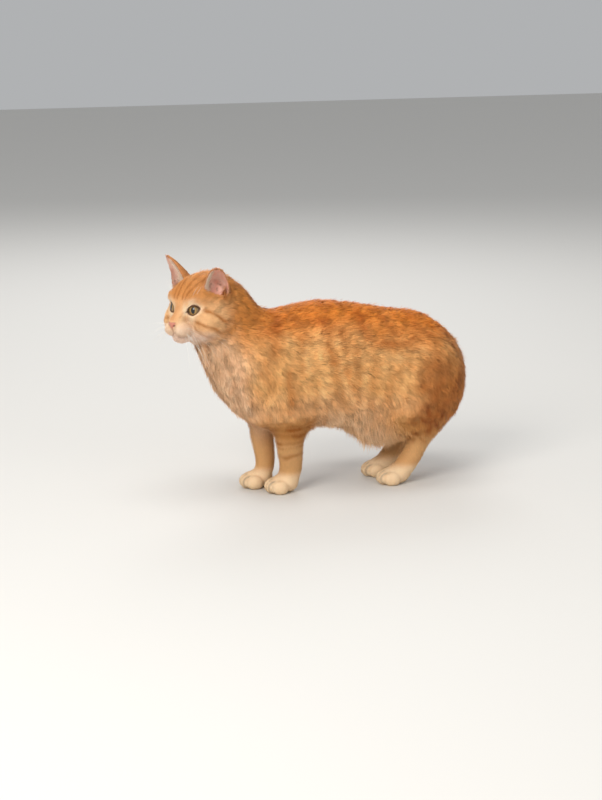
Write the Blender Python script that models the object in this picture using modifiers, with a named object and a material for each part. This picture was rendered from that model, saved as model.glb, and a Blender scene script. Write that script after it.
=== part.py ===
"""A standing european shorthair cat, life size, facing -X with its left side towards -Y.

Every size is in metres. The whole coat surface is one smooth field of named forms; it is
meshed once, given its face, ears and tail, and then parted by thin cuts into named nodes.
"""
import math

import bmesh
import bpy
import numpy as np
from mathutils import Matrix, Vector

# Cuts and mesh sizes
GAP = 0.0003
VOXEL = 0.0024
FIELD_REACH = 0.045
BODY_TRIANGLES = 5300
SHORTEST_EDGE = 0.0003
LINE_TRIANGLES = 800
LINE_VOXEL = 0.0004
LINE_BALLS = 60
RIM_TRIANGLES = 190
EAR_VOXEL = 0.0008
EAR_TRIANGLES = 340

# Trunk: position along the body, top, bottom and half width of the coat
TRUNK_FRONT = -0.156
TRUNK_REAR = 0.2215
TRUNK_ROUND_FRONT = 0.075
TRUNK_ROUND_REAR = 0.104
TRUNK_NARROWING = 0.12
TRUNK_SECTIONS = (
    (-0.160, 0.238, 0.108, 0.052),
    (-0.110, 0.250, 0.098, 0.055),
    (-0.060, 0.2625, 0.091, 0.059),
    (0.000, 0.2685, 0.088, 0.064),
    (0.050, 0.262, 0.084, 0.066),
    (0.100, 0.252, 0.079, 0.065),
    (0.150, 0.2465, 0.074, 0.061),
    (0.200, 0.2370, 0.068, 0.057),
    (0.230, 0.2270, 0.068, 0.053),
)
BELLY_CENTRE = (0.088, 0.0, 0.092)
BELLY_RADII = (0.046, 0.036, 0.037)

# Head: the nose tip, the turn to the left, and places as (behind the nose, left, above)
NOSE_TIP = Vector((-0.2225, -0.035, 0.250))
HEAD_TURN = math.radians(30)
SKULL = ((0.056, 0.0, 0.026), (0.039, 0.039, 0.0375))
CROWN = ((0.064, 0.0, 0.032), (0.029, 0.031, 0.028))
CHEEK = ((0.046, 0.027, -0.001), (0.026, 0.020, 0.023))
JAW = ((0.038, 0.0, -0.014), (0.026, 0.023, 0.013))
WHISKER_PAD = ((0.0135, 0.0090, -0.0075), (0.0135, 0.0110, 0.0098))
NOSE = ((0.0085, 0.0, 0.0010), (0.0085, 0.0072, 0.0064))
CHIN = ((0.0175, 0.0, -0.0185), (0.0110, 0.0105, 0.0085))
BROW = ((0.031, 0.0165, 0.033), (0.013, 0.015, 0.010))
NOSTRIL = ((0.0036, 0.0042, -0.0008), (0.0020, 0.0017, 0.0012))
MOUTH_LINE = ((0.0050, 0.0000, -0.0118), (0.0075, 0.0052, -0.0158), (0.0135, 0.0115, -0.0162),
              (0.0205, 0.0158, -0.0135), (0.0275, 0.0185, -0.0110))
MOUTH_RADIUS = 0.0010
PHILTRUM = ((0.0030, 0.0, -0.0052), (0.0040, 0.0, -0.0085), (0.0050, 0.0, -0.0120))
NOSE_EDGE = ((0.0040, 0.0, -0.0050), (0.0055, 0.0060, -0.0028), (0.0090, 0.0072, 0.0020))
EDGE_RADIUS = 0.0006
BRIDGE = (((0.0085, 0.0, 0.003), 0.0070), ((0.0175, 0.0, 0.014), 0.0085), ((0.028, 0.0, 0.026), 0.0110))

# Eyes
EYE_OPENING = (0.0228, 0.0198, 0.0195)
EYE_RADIUS = 0.0105
EYE_SINK = 0.0078
EYE_OUTWARD = math.radians(24)
EYE_UPWARD = math.radians(6)
LID_THICKNESS = 0.0012
EYE_WIDTH = 0.0185
EYE_HEIGHT = 0.0145
EYE_SLANT = 0.0012
LID_RIM_RADIUS = 0.00085
LID_RIM_SPREAD = 1.04

# Ears
EAR_BASE = {1: (0.0552, 0.0315, 0.0415), -1: (0.0530, 0.0315, 0.0420)}
EAR_TIPS = {1: (0.0445, 0.0430, 0.0768), -1: (0.0405, 0.0420, 0.0860)}
EAR_ROUNDNESS = {1: 0.42, -1: 0.62}
EAR_RADIUS = 0.0195
EAR_SPREAD = math.radians(112)
EAR_THICKNESS = 0.0028
SCOOP_PLACE = (0.0120, 0.0012)
SCOOP_RADII = (0.0118, 0.0135, 0.0175)
EAR_FACING = {1: math.radians(46), -1: math.radians(14)}

# Neck: the throat and the nape as places and radii
THROAT = (
    ((-0.166, -0.006, 0.252), 0.034),
    ((-0.146, 0.000, 0.226), 0.038),
    ((-0.112, 0.000, 0.195), 0.050),
)
NAPE = (
    ((-0.152, -0.002, 0.276), 0.035),
    ((-0.133, 0.000, 0.259), 0.036),
    ((-0.106, 0.000, 0.210), 0.033),
)

# Legs: paw centres on the floor, outward distances positive on both sides
FORE_PAWS = {"left": (-0.0635, -0.021), "right": (-0.0890, 0.017)}
HIND_PAWS = {"left": (0.1020, -0.024), "right": (0.0970, 0.026)}
LEG_FULLNESS = {"left": 1.0, "right": 0.86}
SHOULDER = ((-0.084, 0.034, 0.168), (0.044, 0.026, 0.066))
THIGH = ((0.143, 0.034, 0.143), (0.053, 0.030, 0.068))
ELBOW = (-0.052, 0.034, 0.112)
FORELEG = ((0.0110, 0.0060, 0.081, 0.0216), (0.0125, 0.0030, 0.060, 0.0190),
           (0.0140, 0.0015, 0.045, 0.0169), (0.0135, 0.0, 0.030, 0.0156), (0.0090, 0.0, 0.016, 0.0148))
KNEE = (0.116, 0.038, 0.112)
HOCK = (0.1440, 0.0330, 0.078)
METATARSUS = ((0.0350, 0.0040, 0.057, 0.0158), (0.0280, 0.0020, 0.041, 0.0150),
              (0.0180, 0.0010, 0.025, 0.0147), (0.0080, 0.0, 0.015, 0.0144))
PAW_LENGTH = 0.0465
TOE = (0.0125, 0.0080, 0.0108)

# Tail: laid round the far thigh
TAIL = (
    (0.184, 0.016, 0.194),
    (0.2015, 0.049, 0.185),
    (0.204, 0.078, 0.159),
    (0.186, 0.093, 0.132),
    (0.148, 0.098, 0.114),
    (0.100, 0.096, 0.104),
    (0.052, 0.091, 0.100),
)
TAIL_ROOT_RADIUS = 0.0150
TAIL_TIP_RADIUS = 0.0112

# Cuts between the nodes: a place, the cut's normal or radii, and its size. Y is outward from the midline
FORE_PAW_CUT = ((0.010, 0.0, 0.028), (0.0, 0.0, 1.0), (0.050, 0.042))
HIND_PAW_CUT = ((0.012, 0.0, 0.027), (0.5, 0.0, 1.0), (0.050, 0.042))
ELBOW_CUT = ((0.013, 0.0275, 0.078), (0.0, 0.0, 1.0), (0.084, 0.0565))
SHOULDER_CUT = ((-0.074, 0.0515, 0.156), (0.050, 0.0500, 0.082), math.radians(-6), 2.0)
HOCK_CUT = ((0.135, 0.0325, 0.054), (0.45, 0.0, -0.89), (0.074, 0.058))
THIGH_CUT = ((0.147, 0.0515, 0.128), (0.066, 0.0490, 0.090), math.radians(8), 3.5)
HEAD_CUT = ((-0.150, 0.0, 0.250), (-0.78, 0.0, 0.62), (0.16, 0.16))
NECK_CUT = ((-0.118, 0.0, 0.225), (-0.644, 0.0, 0.765), (0.20, 0.20))
CHEST_CUT = ((0.0, 0.0, 0.18), (1.0, 0.0, 0.0), (0.24, 0.24))
BELLY_CUT = ((0.100, 0.0, 0.16), (1.0, 0.0, 0.0), (0.26, 0.26))
TAIL_POINTS = 40
TAIL_CUTS = (("tail_base", 9), ("tail_mid", 20), ("tail_tip", 31))
TAIL_CUT_SIZE = (0.031, 0.031)
EAR_CUT = ((0.056, 0.0405, 0.0665), 0.0305)
FLANK_DEPTH = 0.015
NECK_INSIDE = (-0.15, 0.0, 0.26)
CHEST_INSIDE = (-0.15, 0.0, 0.15)
BELLY_INSIDE = (0.01, 0.0, 0.18)

COATS = {
    "ginger": ((0.76, 0.42, 0.17, 1.0), 0.85),
    "cream": ((0.90, 0.76, 0.58, 1.0), 0.88),
    "eye": ((0.45, 0.38, 0.18, 1.0), 0.08),
    "ear": ((0.80, 0.50, 0.38, 1.0), 0.80),
}


HEAD_FORWARD = Vector((-math.cos(HEAD_TURN), -math.sin(HEAD_TURN), 0.0))
HEAD_LEFT = Vector((math.sin(HEAD_TURN), -math.cos(HEAD_TURN), 0.0))
HEAD_UP = Vector((0.0, 0.0, 1.0))
HEAD_AXES = np.array((-HEAD_FORWARD, HEAD_LEFT, HEAD_UP))


def head_point(place, side=1):
    """World point of a place given as behind the nose tip, to the left and above it."""
    back, left, up = place
    return NOSE_TIP - HEAD_FORWARD * back + HEAD_LEFT * left * side + HEAD_UP * up


def ellipsoid_distance(points, centre, radii, axes=np.eye(3)):
    """Distance to an ellipsoid whose axes are the rows of the given matrix."""
    local = (points - np.array(centre)) @ np.array(axes).T
    scaled = local / np.array(radii)
    length = np.linalg.norm(scaled, axis=1)
    slope = np.linalg.norm(scaled / np.array(radii), axis=1)
    return length * (length - 1.0) / np.maximum(slope, 1e-9)


def smooth_path(places, count):
    """Evenly spread points on a smooth curve through the given rows."""
    places = np.array(places, dtype=float)
    ends = np.vstack((2 * places[0] - places[1], places, 2 * places[-1] - places[-2]))
    rows = []
    for t in np.linspace(0.0, len(places) - 1.000001, count):
        i = int(t)
        u = t - i
        a, b, c, d = ends[i:i + 4]
        rows.append(0.5 * (2 * b + (c - a) * u + (2 * a - 5 * b + 4 * c - d) * u * u
                           + (3 * b - a - 3 * c + d) * u ** 3))
    return np.array(rows)


def tube_distance(points, rows):
    """Distance to a tube whose rows are x, y, z and radius."""
    best = np.full(len(points), 1e9)
    for a, b in zip(rows[:-1], rows[1:]):
        along = b[:3] - a[:3]
        t = np.clip((points - a[:3]) @ along / (along @ along), 0.0, 1.0)
        near = a[:3] + t[:, None] * along
        radius = a[3] + t * (b[3] - a[3])
        best = np.minimum(best, np.linalg.norm(points - near, axis=1) - radius)
    return best


def tube_rows(stations, count=14):
    """Path rows for stations of a place and a radius."""
    return smooth_path([(*place, radius) for place, radius in stations], count)


def trunk_distance(points):
    """Distance to the trunk: egg-shaped sections along X, rounded off at both ends."""
    table = smooth_path(TRUNK_SECTIONS, 60)
    x, y, z = points.T
    top, bottom, half = (np.interp(x, table[:, 0], table[:, i]) for i in (1, 2, 3))
    middle = (top + bottom) / 2
    height = (top - bottom) / 2
    rise = (z - middle) / height
    width = half * (1 - TRUNK_NARROWING * np.clip(rise, -1.2, 1.2))
    front = np.clip((TRUNK_FRONT + TRUNK_ROUND_FRONT - x) / TRUNK_ROUND_FRONT, 0, None)
    rear = np.clip((x - TRUNK_REAR + TRUNK_ROUND_REAR) / TRUNK_ROUND_REAR, 0, None)
    reach = np.sqrt((y / width) ** 2 + rise ** 2 + front ** 2 + rear ** 2)
    return (reach - 1) * np.minimum(width, height)


def blend(first, second, radius):
    """Smooth union of two distances."""
    near = np.maximum(radius - np.abs(first - second), 0.0) / radius
    return np.minimum(first, second) - near * near * radius / 4


def mirrored(place, sign):
    """A place given with an outward distance, set on the left (-1) or right (+1) side."""
    return (place[0], place[1] * sign, place[2])


def foreleg_forms(side):
    """Shoulder, foreleg and paw of one side, from the top down."""
    sign = -1 if side == "left" else 1
    x, y = FORE_PAWS[side]
    full = LEG_FULLNESS[side]
    elbow_x = ELBOW[0] + 0.7 * (x - FORE_PAWS["left"][0])
    path = [((elbow_x - 0.012, ELBOW[1] * sign, ELBOW[2] + 0.028), 0.030 * full),
            ((elbow_x, ELBOW[1] * sign, ELBOW[2]), 0.0265 * full)]
    path += [((x + back, y + out * sign, z), r * full) for back, out, z, r in FORELEG]
    return [("ellipsoid", mirrored(SHOULDER[0], sign), SHOULDER[1], 0.0), ("tube", path, 0.022)] + paw_forms(x, y)


def hind_leg_forms(side):
    """Thigh, shank, hock and paw of one side, from the top down."""
    sign = -1 if side == "left" else 1
    x, y = HIND_PAWS[side]
    slide = x - HIND_PAWS["left"][0]
    knee = (KNEE[0] + 0.4 * slide, KNEE[1] * sign, KNEE[2])
    hock = (HOCK[0] + 0.8 * slide, HOCK[1] * sign, HOCK[2])
    middle = ((knee[0] + hock[0]) / 2 + 0.010, (knee[1] + hock[1]) / 2, (knee[2] + hock[2]) / 2 + 0.003)
    path = [(knee, 0.0310), (middle, 0.0265), (hock, 0.0190)]
    path += [((x + back, y + out * sign, z), r) for back, out, z, r in METATARSUS]
    return [("ellipsoid", mirrored(THIGH[0], sign), THIGH[1], 0.0), ("tube", path, 0.022)] + paw_forms(x, y)


def paw_forms(x, y):
    """A paw: the palm and four toes, the two outer ones set back."""
    front = x - PAW_LENGTH / 2
    forms = [("ellipsoid", (x + 0.003, y, 0.0125), (0.0205, 0.0150, 0.0125), 0.006)]
    for across, back in ((-0.0125, 0.0065), (-0.0045, 0.0), (0.0045, 0.0), (0.0125, 0.0065)):
        centre = (front + TOE[0] + back, y + across, TOE[2] - 0.0015)
        forms.append(("ellipsoid", centre, TOE, 0.0022))
    return forms


def head_forms():
    """The forms of the head, with the muzzle, brows, cheeks and the lids' swell."""
    forms = []
    for place, radii, soft, sides in (
            (*SKULL, 0.012, (0,)), (*CROWN, 0.012, (0,)), (*CHEEK, 0.016, (1, -1)),
            (*JAW, 0.012, (0,)), (*BROW, 0.010, (1, -1)), (*CHIN, 0.006, (0,)),
            (*WHISKER_PAD, 0.005, (1, -1)), (*NOSE, 0.003, (0,))):
        for side in sides:
            forms.append(("turned", tuple(head_point(place, side or 1)), radii, soft))
    path = tuple((tuple(head_point(place)), radius) for place, radius in BRIDGE)
    forms.append(("tube", path, 0.010))
    for side in (1, -1):
        radius = EYE_RADIUS + LID_THICKNESS
        forms.append(("ellipsoid", tuple(eye_centre(side)), (radius,) * 3, 0.004))
    return forms


def eye_axis(side):
    """Direction in which an eye looks."""
    level = HEAD_FORWARD * math.cos(EYE_OUTWARD) + HEAD_LEFT * math.sin(EYE_OUTWARD) * side
    return (level * math.cos(EYE_UPWARD) + HEAD_UP * math.sin(EYE_UPWARD)).normalized()


def eye_centre(side):
    """Middle of an eyeball, sunk behind its opening."""
    return head_point(EYE_OPENING, side) - eye_axis(side) * EYE_SINK


def body_groups():
    """The groups of forms that are blended into the trunk, each with its own blend radius."""
    groups = [([("ellipsoid", BELLY_CENTRE, BELLY_RADII, 0.0)], 0.030),
              ([("tube", THROAT, 0.0), ("tube", NAPE, 0.020)], 0.028),
              (head_forms(), 0.016)]
    limbs = []
    for side in ("left", "right"):
        limbs.append((foreleg_forms(side), 0.026))
        limbs.append((hind_leg_forms(side), 0.026))
    return groups, limbs


def form_distance(points, form):
    """Distance to one form, worked out only for the points near it."""
    if form[0] == "tube":
        rows = tube_rows(form[1])
        low = (rows[:, :3] - rows[:, 3:]).min(axis=0)
        high = (rows[:, :3] + rows[:, 3:]).max(axis=0)
    else:
        low = np.array(form[1]) - max(form[2])
        high = np.array(form[1]) + max(form[2])
    near = ((points > low - FIELD_REACH) & (points < high + FIELD_REACH)).all(axis=1)
    result = np.full(len(points), 1.0)
    if form[0] == "tube":
        result[near] = tube_distance(points[near], rows)
    else:
        axes = HEAD_AXES if form[0] == "turned" else np.eye(3)
        result[near] = ellipsoid_distance(points[near], form[1], form[2], axes)
    return result


def group_distance(points, forms):
    """Distance to a group of forms, each blended into those before it."""
    result = form_distance(points, forms[0])
    for form in forms[1:]:
        result = blend(result, form_distance(points, form), form[-1])
    return result


def coat_distance(points, groups, limbs):
    """Distance to the coat's outer surface. The limbs blend into the trunk, not into each other."""
    trunk = trunk_distance(points)
    for forms, radius in groups:
        trunk = blend(trunk, group_distance(points, forms), radius)
    result = trunk
    for forms, radius in limbs:
        result = np.minimum(result, blend(trunk, group_distance(points, forms), radius))
    return result


def new_object(name, mesh, collection):
    """An object for a mesh, in a collection."""
    thing = bpy.data.objects.new(name, mesh)
    collection.objects.link(thing)
    return thing


def mesh_from(name, shape):
    """A mesh from a bmesh, which is freed."""
    mesh = bpy.data.meshes.new(name)
    shape.to_mesh(mesh)
    shape.free()
    return mesh


def ball_mesh(name, balls, rings=16, squareness=2.0):
    """One mesh of balls, each given as a centre, three radii and the rows of its axes.

    A squareness of 2 gives round balls and a higher one swells them towards their box.
    """
    shape = bmesh.new()
    bmesh.ops.create_uvsphere(shape, u_segments=2 * rings, v_segments=rings, radius=1.0)
    bmesh.ops.triangulate(shape, faces=shape.faces)
    unit = np.array([v.co for v in shape.verts])
    faces = [[v.index for v in f.verts] for f in shape.faces]
    shape.free()
    unit /= (np.abs(unit) ** squareness).sum(axis=1, keepdims=True) ** (1 / squareness)
    points = np.vstack([(unit * np.array(radii)) @ np.array(axes) + np.array(centre)
                        for centre, radii, axes in balls])
    joined = [[i + k * len(unit) for i in face] for k in range(len(balls)) for face in faces]
    mesh = bpy.data.meshes.new(name)
    mesh.from_pydata(points.tolist(), [], joined)
    return mesh


def rough_body(collection, groups, limbs):
    """Balls along every form, fused by a voxel remesh into one closed surface."""
    balls = []
    level = np.eye(3)
    table = smooth_path(TRUNK_SECTIONS, 60)
    for x in np.linspace(TRUNK_FRONT + TRUNK_ROUND_FRONT, TRUNK_REAR - TRUNK_ROUND_REAR, 12):
        top, bottom, half = (np.interp(x, table[:, 0], table[:, i]) for i in (1, 2, 3))
        long_end = TRUNK_ROUND_FRONT if x < 0 else TRUNK_ROUND_REAR
        balls.append(((x, 0.0, (top + bottom) / 2), (long_end, half, (top - bottom) / 2), level))
    for forms, _ in groups + limbs:
        for form in forms:
            if form[0] == "tube":
                balls += [(row[:3], (row[3],) * 3, level) for row in tube_rows(form[1])]
            else:
                balls.append((form[1], form[2], HEAD_AXES if form[0] == "turned" else level))
    body = new_object("coat_surface", ball_mesh("coat_surface", balls), collection)
    fuse(body, VOXEL)
    return body


def fuse(thing, voxel):
    """Rebuild an object as one closed surface of a given cell size."""
    remesh = thing.modifiers.new("Fuse", "REMESH")
    remesh.mode = "VOXEL"
    remesh.voxel_size = voxel
    apply_modifiers(thing)


def apply_modifiers(thing):
    """Replace an object's mesh with its evaluated mesh."""
    bpy.context.view_layer.update()
    evaluated = thing.evaluated_get(bpy.context.evaluated_depsgraph_get())
    mesh = bpy.data.meshes.new_from_object(evaluated)
    thing.modifiers.clear()
    thing.data = mesh


def vertex_array(mesh):
    """The vertices of a mesh as rows."""
    points = np.empty(len(mesh.vertices) * 3, dtype=np.float32)
    mesh.vertices.foreach_get("co", points)
    return points.reshape(-1, 3).astype(float)


def fit_to_field(body, groups, limbs, rounds=4, step=0.0004):
    """Move every vertex along the field's slope until it lies on the coat's surface."""
    points = vertex_array(body.data)
    for _ in range(rounds):
        value = coat_distance(points, groups, limbs)
        slope = np.empty_like(points)
        for axis in range(3):
            ahead = points.copy()
            ahead[:, axis] += step
            slope[:, axis] = (coat_distance(ahead, groups, limbs) - value) / step
        size = np.maximum((slope ** 2).sum(axis=1), 0.05)
        move = -(value / size)[:, None] * slope
        reach = np.linalg.norm(move, axis=1, keepdims=True)
        points += move * np.minimum(1.0, 0.004 / np.maximum(reach, 1e-9))
    body.data.vertices.foreach_set("co", points.astype(np.float32).ravel())
    body.data.update()


def thin_out(body, target):
    """Reduce the triangles where the surface is flattest."""
    body.data.calc_loop_triangles()
    reduce = body.modifiers.new("Reduce", "DECIMATE")
    reduce.ratio = target / len(body.data.loop_triangles)
    reduce.use_collapse_triangulate = True
    apply_modifiers(body)


def combine(body, operation, tools, solver="MANIFOLD"):
    """Join or cut a body with a list of objects, which are removed afterwards."""
    group = bpy.data.collections.new("tools")
    bpy.context.scene.collection.children.link(group)
    for tool in tools:
        for owner in list(tool.users_collection):
            owner.objects.unlink(tool)
        group.objects.link(tool)
    boolean = body.modifiers.new("Combine", "BOOLEAN")
    boolean.operation = operation
    boolean.operand_type = "COLLECTION"
    boolean.collection = group
    boolean.solver = solver
    apply_modifiers(body)
    for tool in tools:
        bpy.data.objects.remove(tool)
    bpy.data.collections.remove(group)


def slab(centre, normal, size):
    """A thin slab, as thick as the gap between two nodes."""
    shape = bmesh.new()
    bmesh.ops.create_cube(shape, size=1.0)
    turn = Vector((0, 0, 1)).rotation_difference(Vector(normal)).to_matrix().to_4x4()
    place = Matrix.Translation(centre) @ turn @ Matrix.Diagonal((*size, GAP, 1.0))
    bmesh.ops.transform(shape, matrix=place, verts=shape.verts)
    return new_object("slab", mesh_from("slab", shape), bpy.context.scene.collection)


def shell(centre, radii, tilt, squareness, rings=7):
    """The thin wall of a ball with three radii, squared off by a power and tilted about the Y axis."""
    axes = np.array(Matrix.Rotation(tilt, 3, "Y")).T
    inner = [r - GAP for r in radii]
    shape = bmesh.new()
    walls = [(centre, radii, axes), (centre, inner, axes)]
    shape.from_mesh(ball_mesh("shell", walls, rings, squareness))
    shape.faces.ensure_lookup_table()
    bmesh.ops.reverse_faces(shape, faces=shape.faces[len(shape.faces) // 2:])
    return new_object("shell", mesh_from("shell", shape), bpy.context.scene.collection)


def loose_pieces(body):
    """The closed surfaces of an object, each as its own mesh, largest first."""
    shape = bmesh.new()
    shape.from_mesh(body.data)
    shape.verts.ensure_lookup_table()
    seen = set()
    groups = []
    for start in shape.verts:
        if start.index in seen:
            continue
        stack = [start]
        seen.add(start.index)
        members = []
        while stack:
            vertex = stack.pop()
            members.append(vertex.index)
            for edge in vertex.link_edges:
                other = edge.other_vert(vertex)
                if other.index not in seen:
                    seen.add(other.index)
                    stack.append(other)
        groups.append(members)
    shape.free()
    meshes = []
    for members in groups:
        keep = set(members)
        piece = bmesh.new()
        piece.from_mesh(body.data)
        piece.verts.ensure_lookup_table()
        bmesh.ops.delete(piece, geom=[v for v in piece.verts if v.index not in keep], context="VERTS")
        volume = piece.calc_volume()
        meshes.append((volume, mesh_from("piece", piece)))
    meshes.sort(key=lambda pair: -pair[0])
    return [mesh for _, mesh in meshes]


def part_off(body, tool, name, inside, collection):
    """Cut a body with a thin tool and move the piece nearest a point to its own object."""
    combine(body, "DIFFERENCE", [tool])
    pieces = loose_pieces(body)[:2]
    if len(pieces) < 2:
        raise ValueError(f"the cut for {name} doesn't part the body")
    target = np.array(inside)
    nearest = [np.linalg.norm(vertex_array(m) - target, axis=1).min() for m in pieces]
    chosen = int(np.argmin(nearest))
    body.data = pieces[1 - chosen]
    return new_object(name, pieces[chosen], collection)


def keep_largest(body):
    """Keep only the largest closed surface of an object."""
    body.data = loose_pieces(body)[0]


def ear_frame(side):
    """An ear's base and tip, and its axis, the way it faces and the way across it."""
    base = head_point(EAR_BASE[side], side)
    tip = head_point(EAR_TIPS[side], side)
    axis = (tip - base).normalized()
    facing = HEAD_FORWARD * math.cos(EAR_FACING[side]) + HEAD_LEFT * math.sin(EAR_FACING[side]) * side
    facing = (facing - axis * facing.dot(axis)).normalized()
    return base, tip, axis, facing, axis.cross(facing).normalized()


def ear(side, name):
    """An open cup: part of a cone that narrows to the tip, given a thickness."""
    base, tip, axis, facing, across = ear_frame(side)
    base = base - axis * 0.012
    length = (tip - base).length
    rows, columns = 11, 15
    shape = bmesh.new()
    grid = []
    for i in range(rows):
        t = i / (rows - 1)
        radius = EAR_RADIUS * (1 - t) ** EAR_ROUNDNESS[side] + 0.0010
        spread = EAR_SPREAD * (1 - 0.42 * t)
        line = []
        for j in range(columns):
            angle = spread * (2 * j / (columns - 1) - 1)
            back = -math.cos(angle) * radius + 0.006 * t * t
            sideways = math.sin(angle) * radius
            line.append(shape.verts.new(base + axis * length * t + facing * back + across * sideways))
        grid.append(line)
    for low, high in zip(grid[:-1], grid[1:]):
        for j in range(columns - 1):
            shape.faces.new((low[j], low[j + 1], high[j + 1], high[j]))
    shape.normal_update()
    cup = new_object(name, mesh_from(name, shape), bpy.context.scene.collection)
    thick = cup.modifiers.new("Thickness", "SOLIDIFY")
    thick.thickness = EAR_THICKNESS
    thick.offset = 0.0
    thick.use_even_offset = False
    fuse(cup, EAR_VOXEL)
    thin_out(cup, EAR_TRIANGLES)
    return cup


def ear_scoop(side):
    """The hollow at the foot of an ear's cup, a long ball down into the skull."""
    base, _, axis, facing, across = ear_frame(side)
    rise, back = SCOOP_PLACE
    centre = base + axis * rise - facing * back
    return new_object("scoop", ball_mesh("scoop", [(centre, SCOOP_RADII, (facing, across, axis))], 9),
                      bpy.context.scene.collection)


def tail_tube():
    """The tail as one tapered tube with round ends."""
    path = smooth_path(TAIL, TAIL_POINTS)
    taper = np.linspace(TAIL_ROOT_RADIUS, TAIL_TIP_RADIUS, len(path))
    curve = bpy.data.curves.new("tail", "CURVE")
    curve.dimensions = "3D"
    curve.bevel_depth = 1.0
    curve.bevel_resolution = 3
    curve.use_fill_caps = True
    ends = [path[-1] + (path[-1] - path[-2]) * k for k in (0.5, 0.85, 1.0)]
    path = np.vstack((path, ends))
    taper = np.concatenate((taper, TAIL_TIP_RADIUS * np.array((0.85, 0.55, 0.2))))
    spline = curve.splines.new("POLY")
    spline.points.add(len(path) - 1)
    for point, place, radius in zip(spline.points, path, taper):
        point.co = (*place, 1.0)
        point.radius = radius
    thing = new_object("tail", curve, bpy.context.scene.collection)
    bpy.context.view_layer.update()
    evaluated = thing.evaluated_get(bpy.context.evaluated_depsgraph_get())
    mesh = bpy.data.meshes.new_from_object(evaluated)
    shape = bmesh.new()
    shape.from_mesh(mesh)
    bmesh.ops.remove_doubles(shape, verts=shape.verts, dist=0.00005)
    bpy.data.objects.remove(thing)
    return new_object("tail", mesh_from("tail", shape), bpy.context.scene.collection)


def opening_frame(side):
    """An eye's middle, the way it looks, the way out to its corner and the way up its lids."""
    axis = eye_axis(side)
    across = (HEAD_LEFT * side - axis * axis.dot(HEAD_LEFT * side)).normalized()
    up = (HEAD_UP - axis * axis.dot(HEAD_UP)).normalized()
    return eye_centre(side), axis, across, up


def almond(count):
    """The outline of the lids' opening: an ellipse drawn in towards its corners and raised outwards."""
    ring = []
    for i in range(count):
        x = math.cos(2 * math.pi * i / count)
        y = math.sin(2 * math.pi * i / count) * (1 - 0.22 * x * x)
        ring.append((EYE_WIDTH / 2 * x, EYE_HEIGHT / 2 * y + EYE_SLANT * x))
    return ring


def opening_cutter(side):
    """An almond-shaped prism that opens the lids in front of an eye."""
    centre, axis, across, up = opening_frame(side)
    shape = bmesh.new()
    count = 20
    ring = [across * x + up * y for x, y in almond(count)]
    near = [shape.verts.new(centre + axis * 0.030 + p * 1.25) for p in ring]
    far = [shape.verts.new(centre + axis * 0.004 + p * 0.95) for p in ring]
    shape.faces.new(near)
    shape.faces.new(far[::-1])
    for i in range(count):
        k = (i + 1) % count
        shape.faces.new((near[i], far[i], far[k], near[k]))
    bmesh.ops.recalc_face_normals(shape, faces=shape.faces)
    return new_object("opening", mesh_from("opening", shape), bpy.context.scene.collection)


def on_coat(place, side, fields):
    """A place of the head, moved along the field's slope onto the coat's surface."""
    point = np.array(head_point(place, side))[None]
    step = 0.0002
    for _ in range(6):
        value = coat_distance(point, *fields)
        slope = np.array([coat_distance(point + np.eye(3)[i] * step, *fields)[0] - value[0] for i in range(3)]) / step
        point = point - value[:, None] * slope / max(slope @ slope, 0.05)
    return point[0]


def face_lines(fields):
    """One cutter for the lines of the face: the mouth, the cleft above it, the nose's edge and the nostrils."""
    balls = []
    for places, radius in ((MOUTH_LINE, MOUTH_RADIUS), (NOSE_EDGE, EDGE_RADIUS), (PHILTRUM, EDGE_RADIUS)):
        left = [on_coat(place, 1, fields) for place in places]
        right = [on_coat(place, -1, fields) for place in places]
        path = smooth_path(left if places is PHILTRUM else left[::-1] + right[1:], LINE_BALLS)
        balls += [(place, (radius,) * 3, np.eye(3)) for place in path]
    for side in (1, -1):
        balls.append((on_coat(NOSTRIL[0], side, fields), NOSTRIL[1], HEAD_AXES))
    cutter = new_object("lines", ball_mesh("lines", balls, 6), bpy.context.scene.collection)
    fuse(cutter, LINE_VOXEL)
    thin_out(cutter, LINE_TRIANGLES)
    return cutter


def lid_rim(side):
    """The raised edge of the lids, a thin tube round the almond opening."""
    centre, axis, across, up = opening_frame(side)
    reach = EYE_RADIUS + LID_THICKNESS
    balls = []
    for x, y in almond(44):
        flat = across * (x * LID_RIM_SPREAD) + up * (y * LID_RIM_SPREAD)
        depth = math.sqrt(max(reach ** 2 - flat.length_squared, 0.0))
        balls.append((centre + flat + axis * depth, (LID_RIM_RADIUS,) * 3, np.eye(3)))
    rim = new_object("rim", ball_mesh("rim", balls, 6), bpy.context.scene.collection)
    fuse(rim, LID_RIM_RADIUS / 2.5)
    thin_out(rim, RIM_TRIANGLES)
    return rim


def ball_object(name, centre, radius, rings, collection):
    """A ball as an object."""
    return new_object(name, ball_mesh(name, [(centre, (radius,) * 3, np.eye(3))], rings), collection)


def floor_block():
    """A block that takes away all below the floor."""
    shape = bmesh.new()
    bmesh.ops.create_cube(shape, size=1.0)
    place = Matrix.Translation((0, 0, -0.05)) @ Matrix.Diagonal((1.0, 0.6, 0.1, 1.0))
    bmesh.ops.transform(shape, matrix=place, verts=shape.verts)
    return new_object("floor_block", mesh_from("floor_block", shape), bpy.context.scene.collection)


def material(name):
    """A Principled material for one coat or surface."""
    if name in bpy.data.materials:
        return bpy.data.materials[name]
    colour, roughness = COATS[name]
    made = bpy.data.materials.new(name)
    made.use_nodes = True
    shader = made.node_tree.nodes["Principled BSDF"]
    shader.inputs["Base Color"].default_value = colour
    shader.inputs["Roughness"].default_value = roughness
    shader.inputs["Metallic"].default_value = 0.0
    return made


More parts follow.
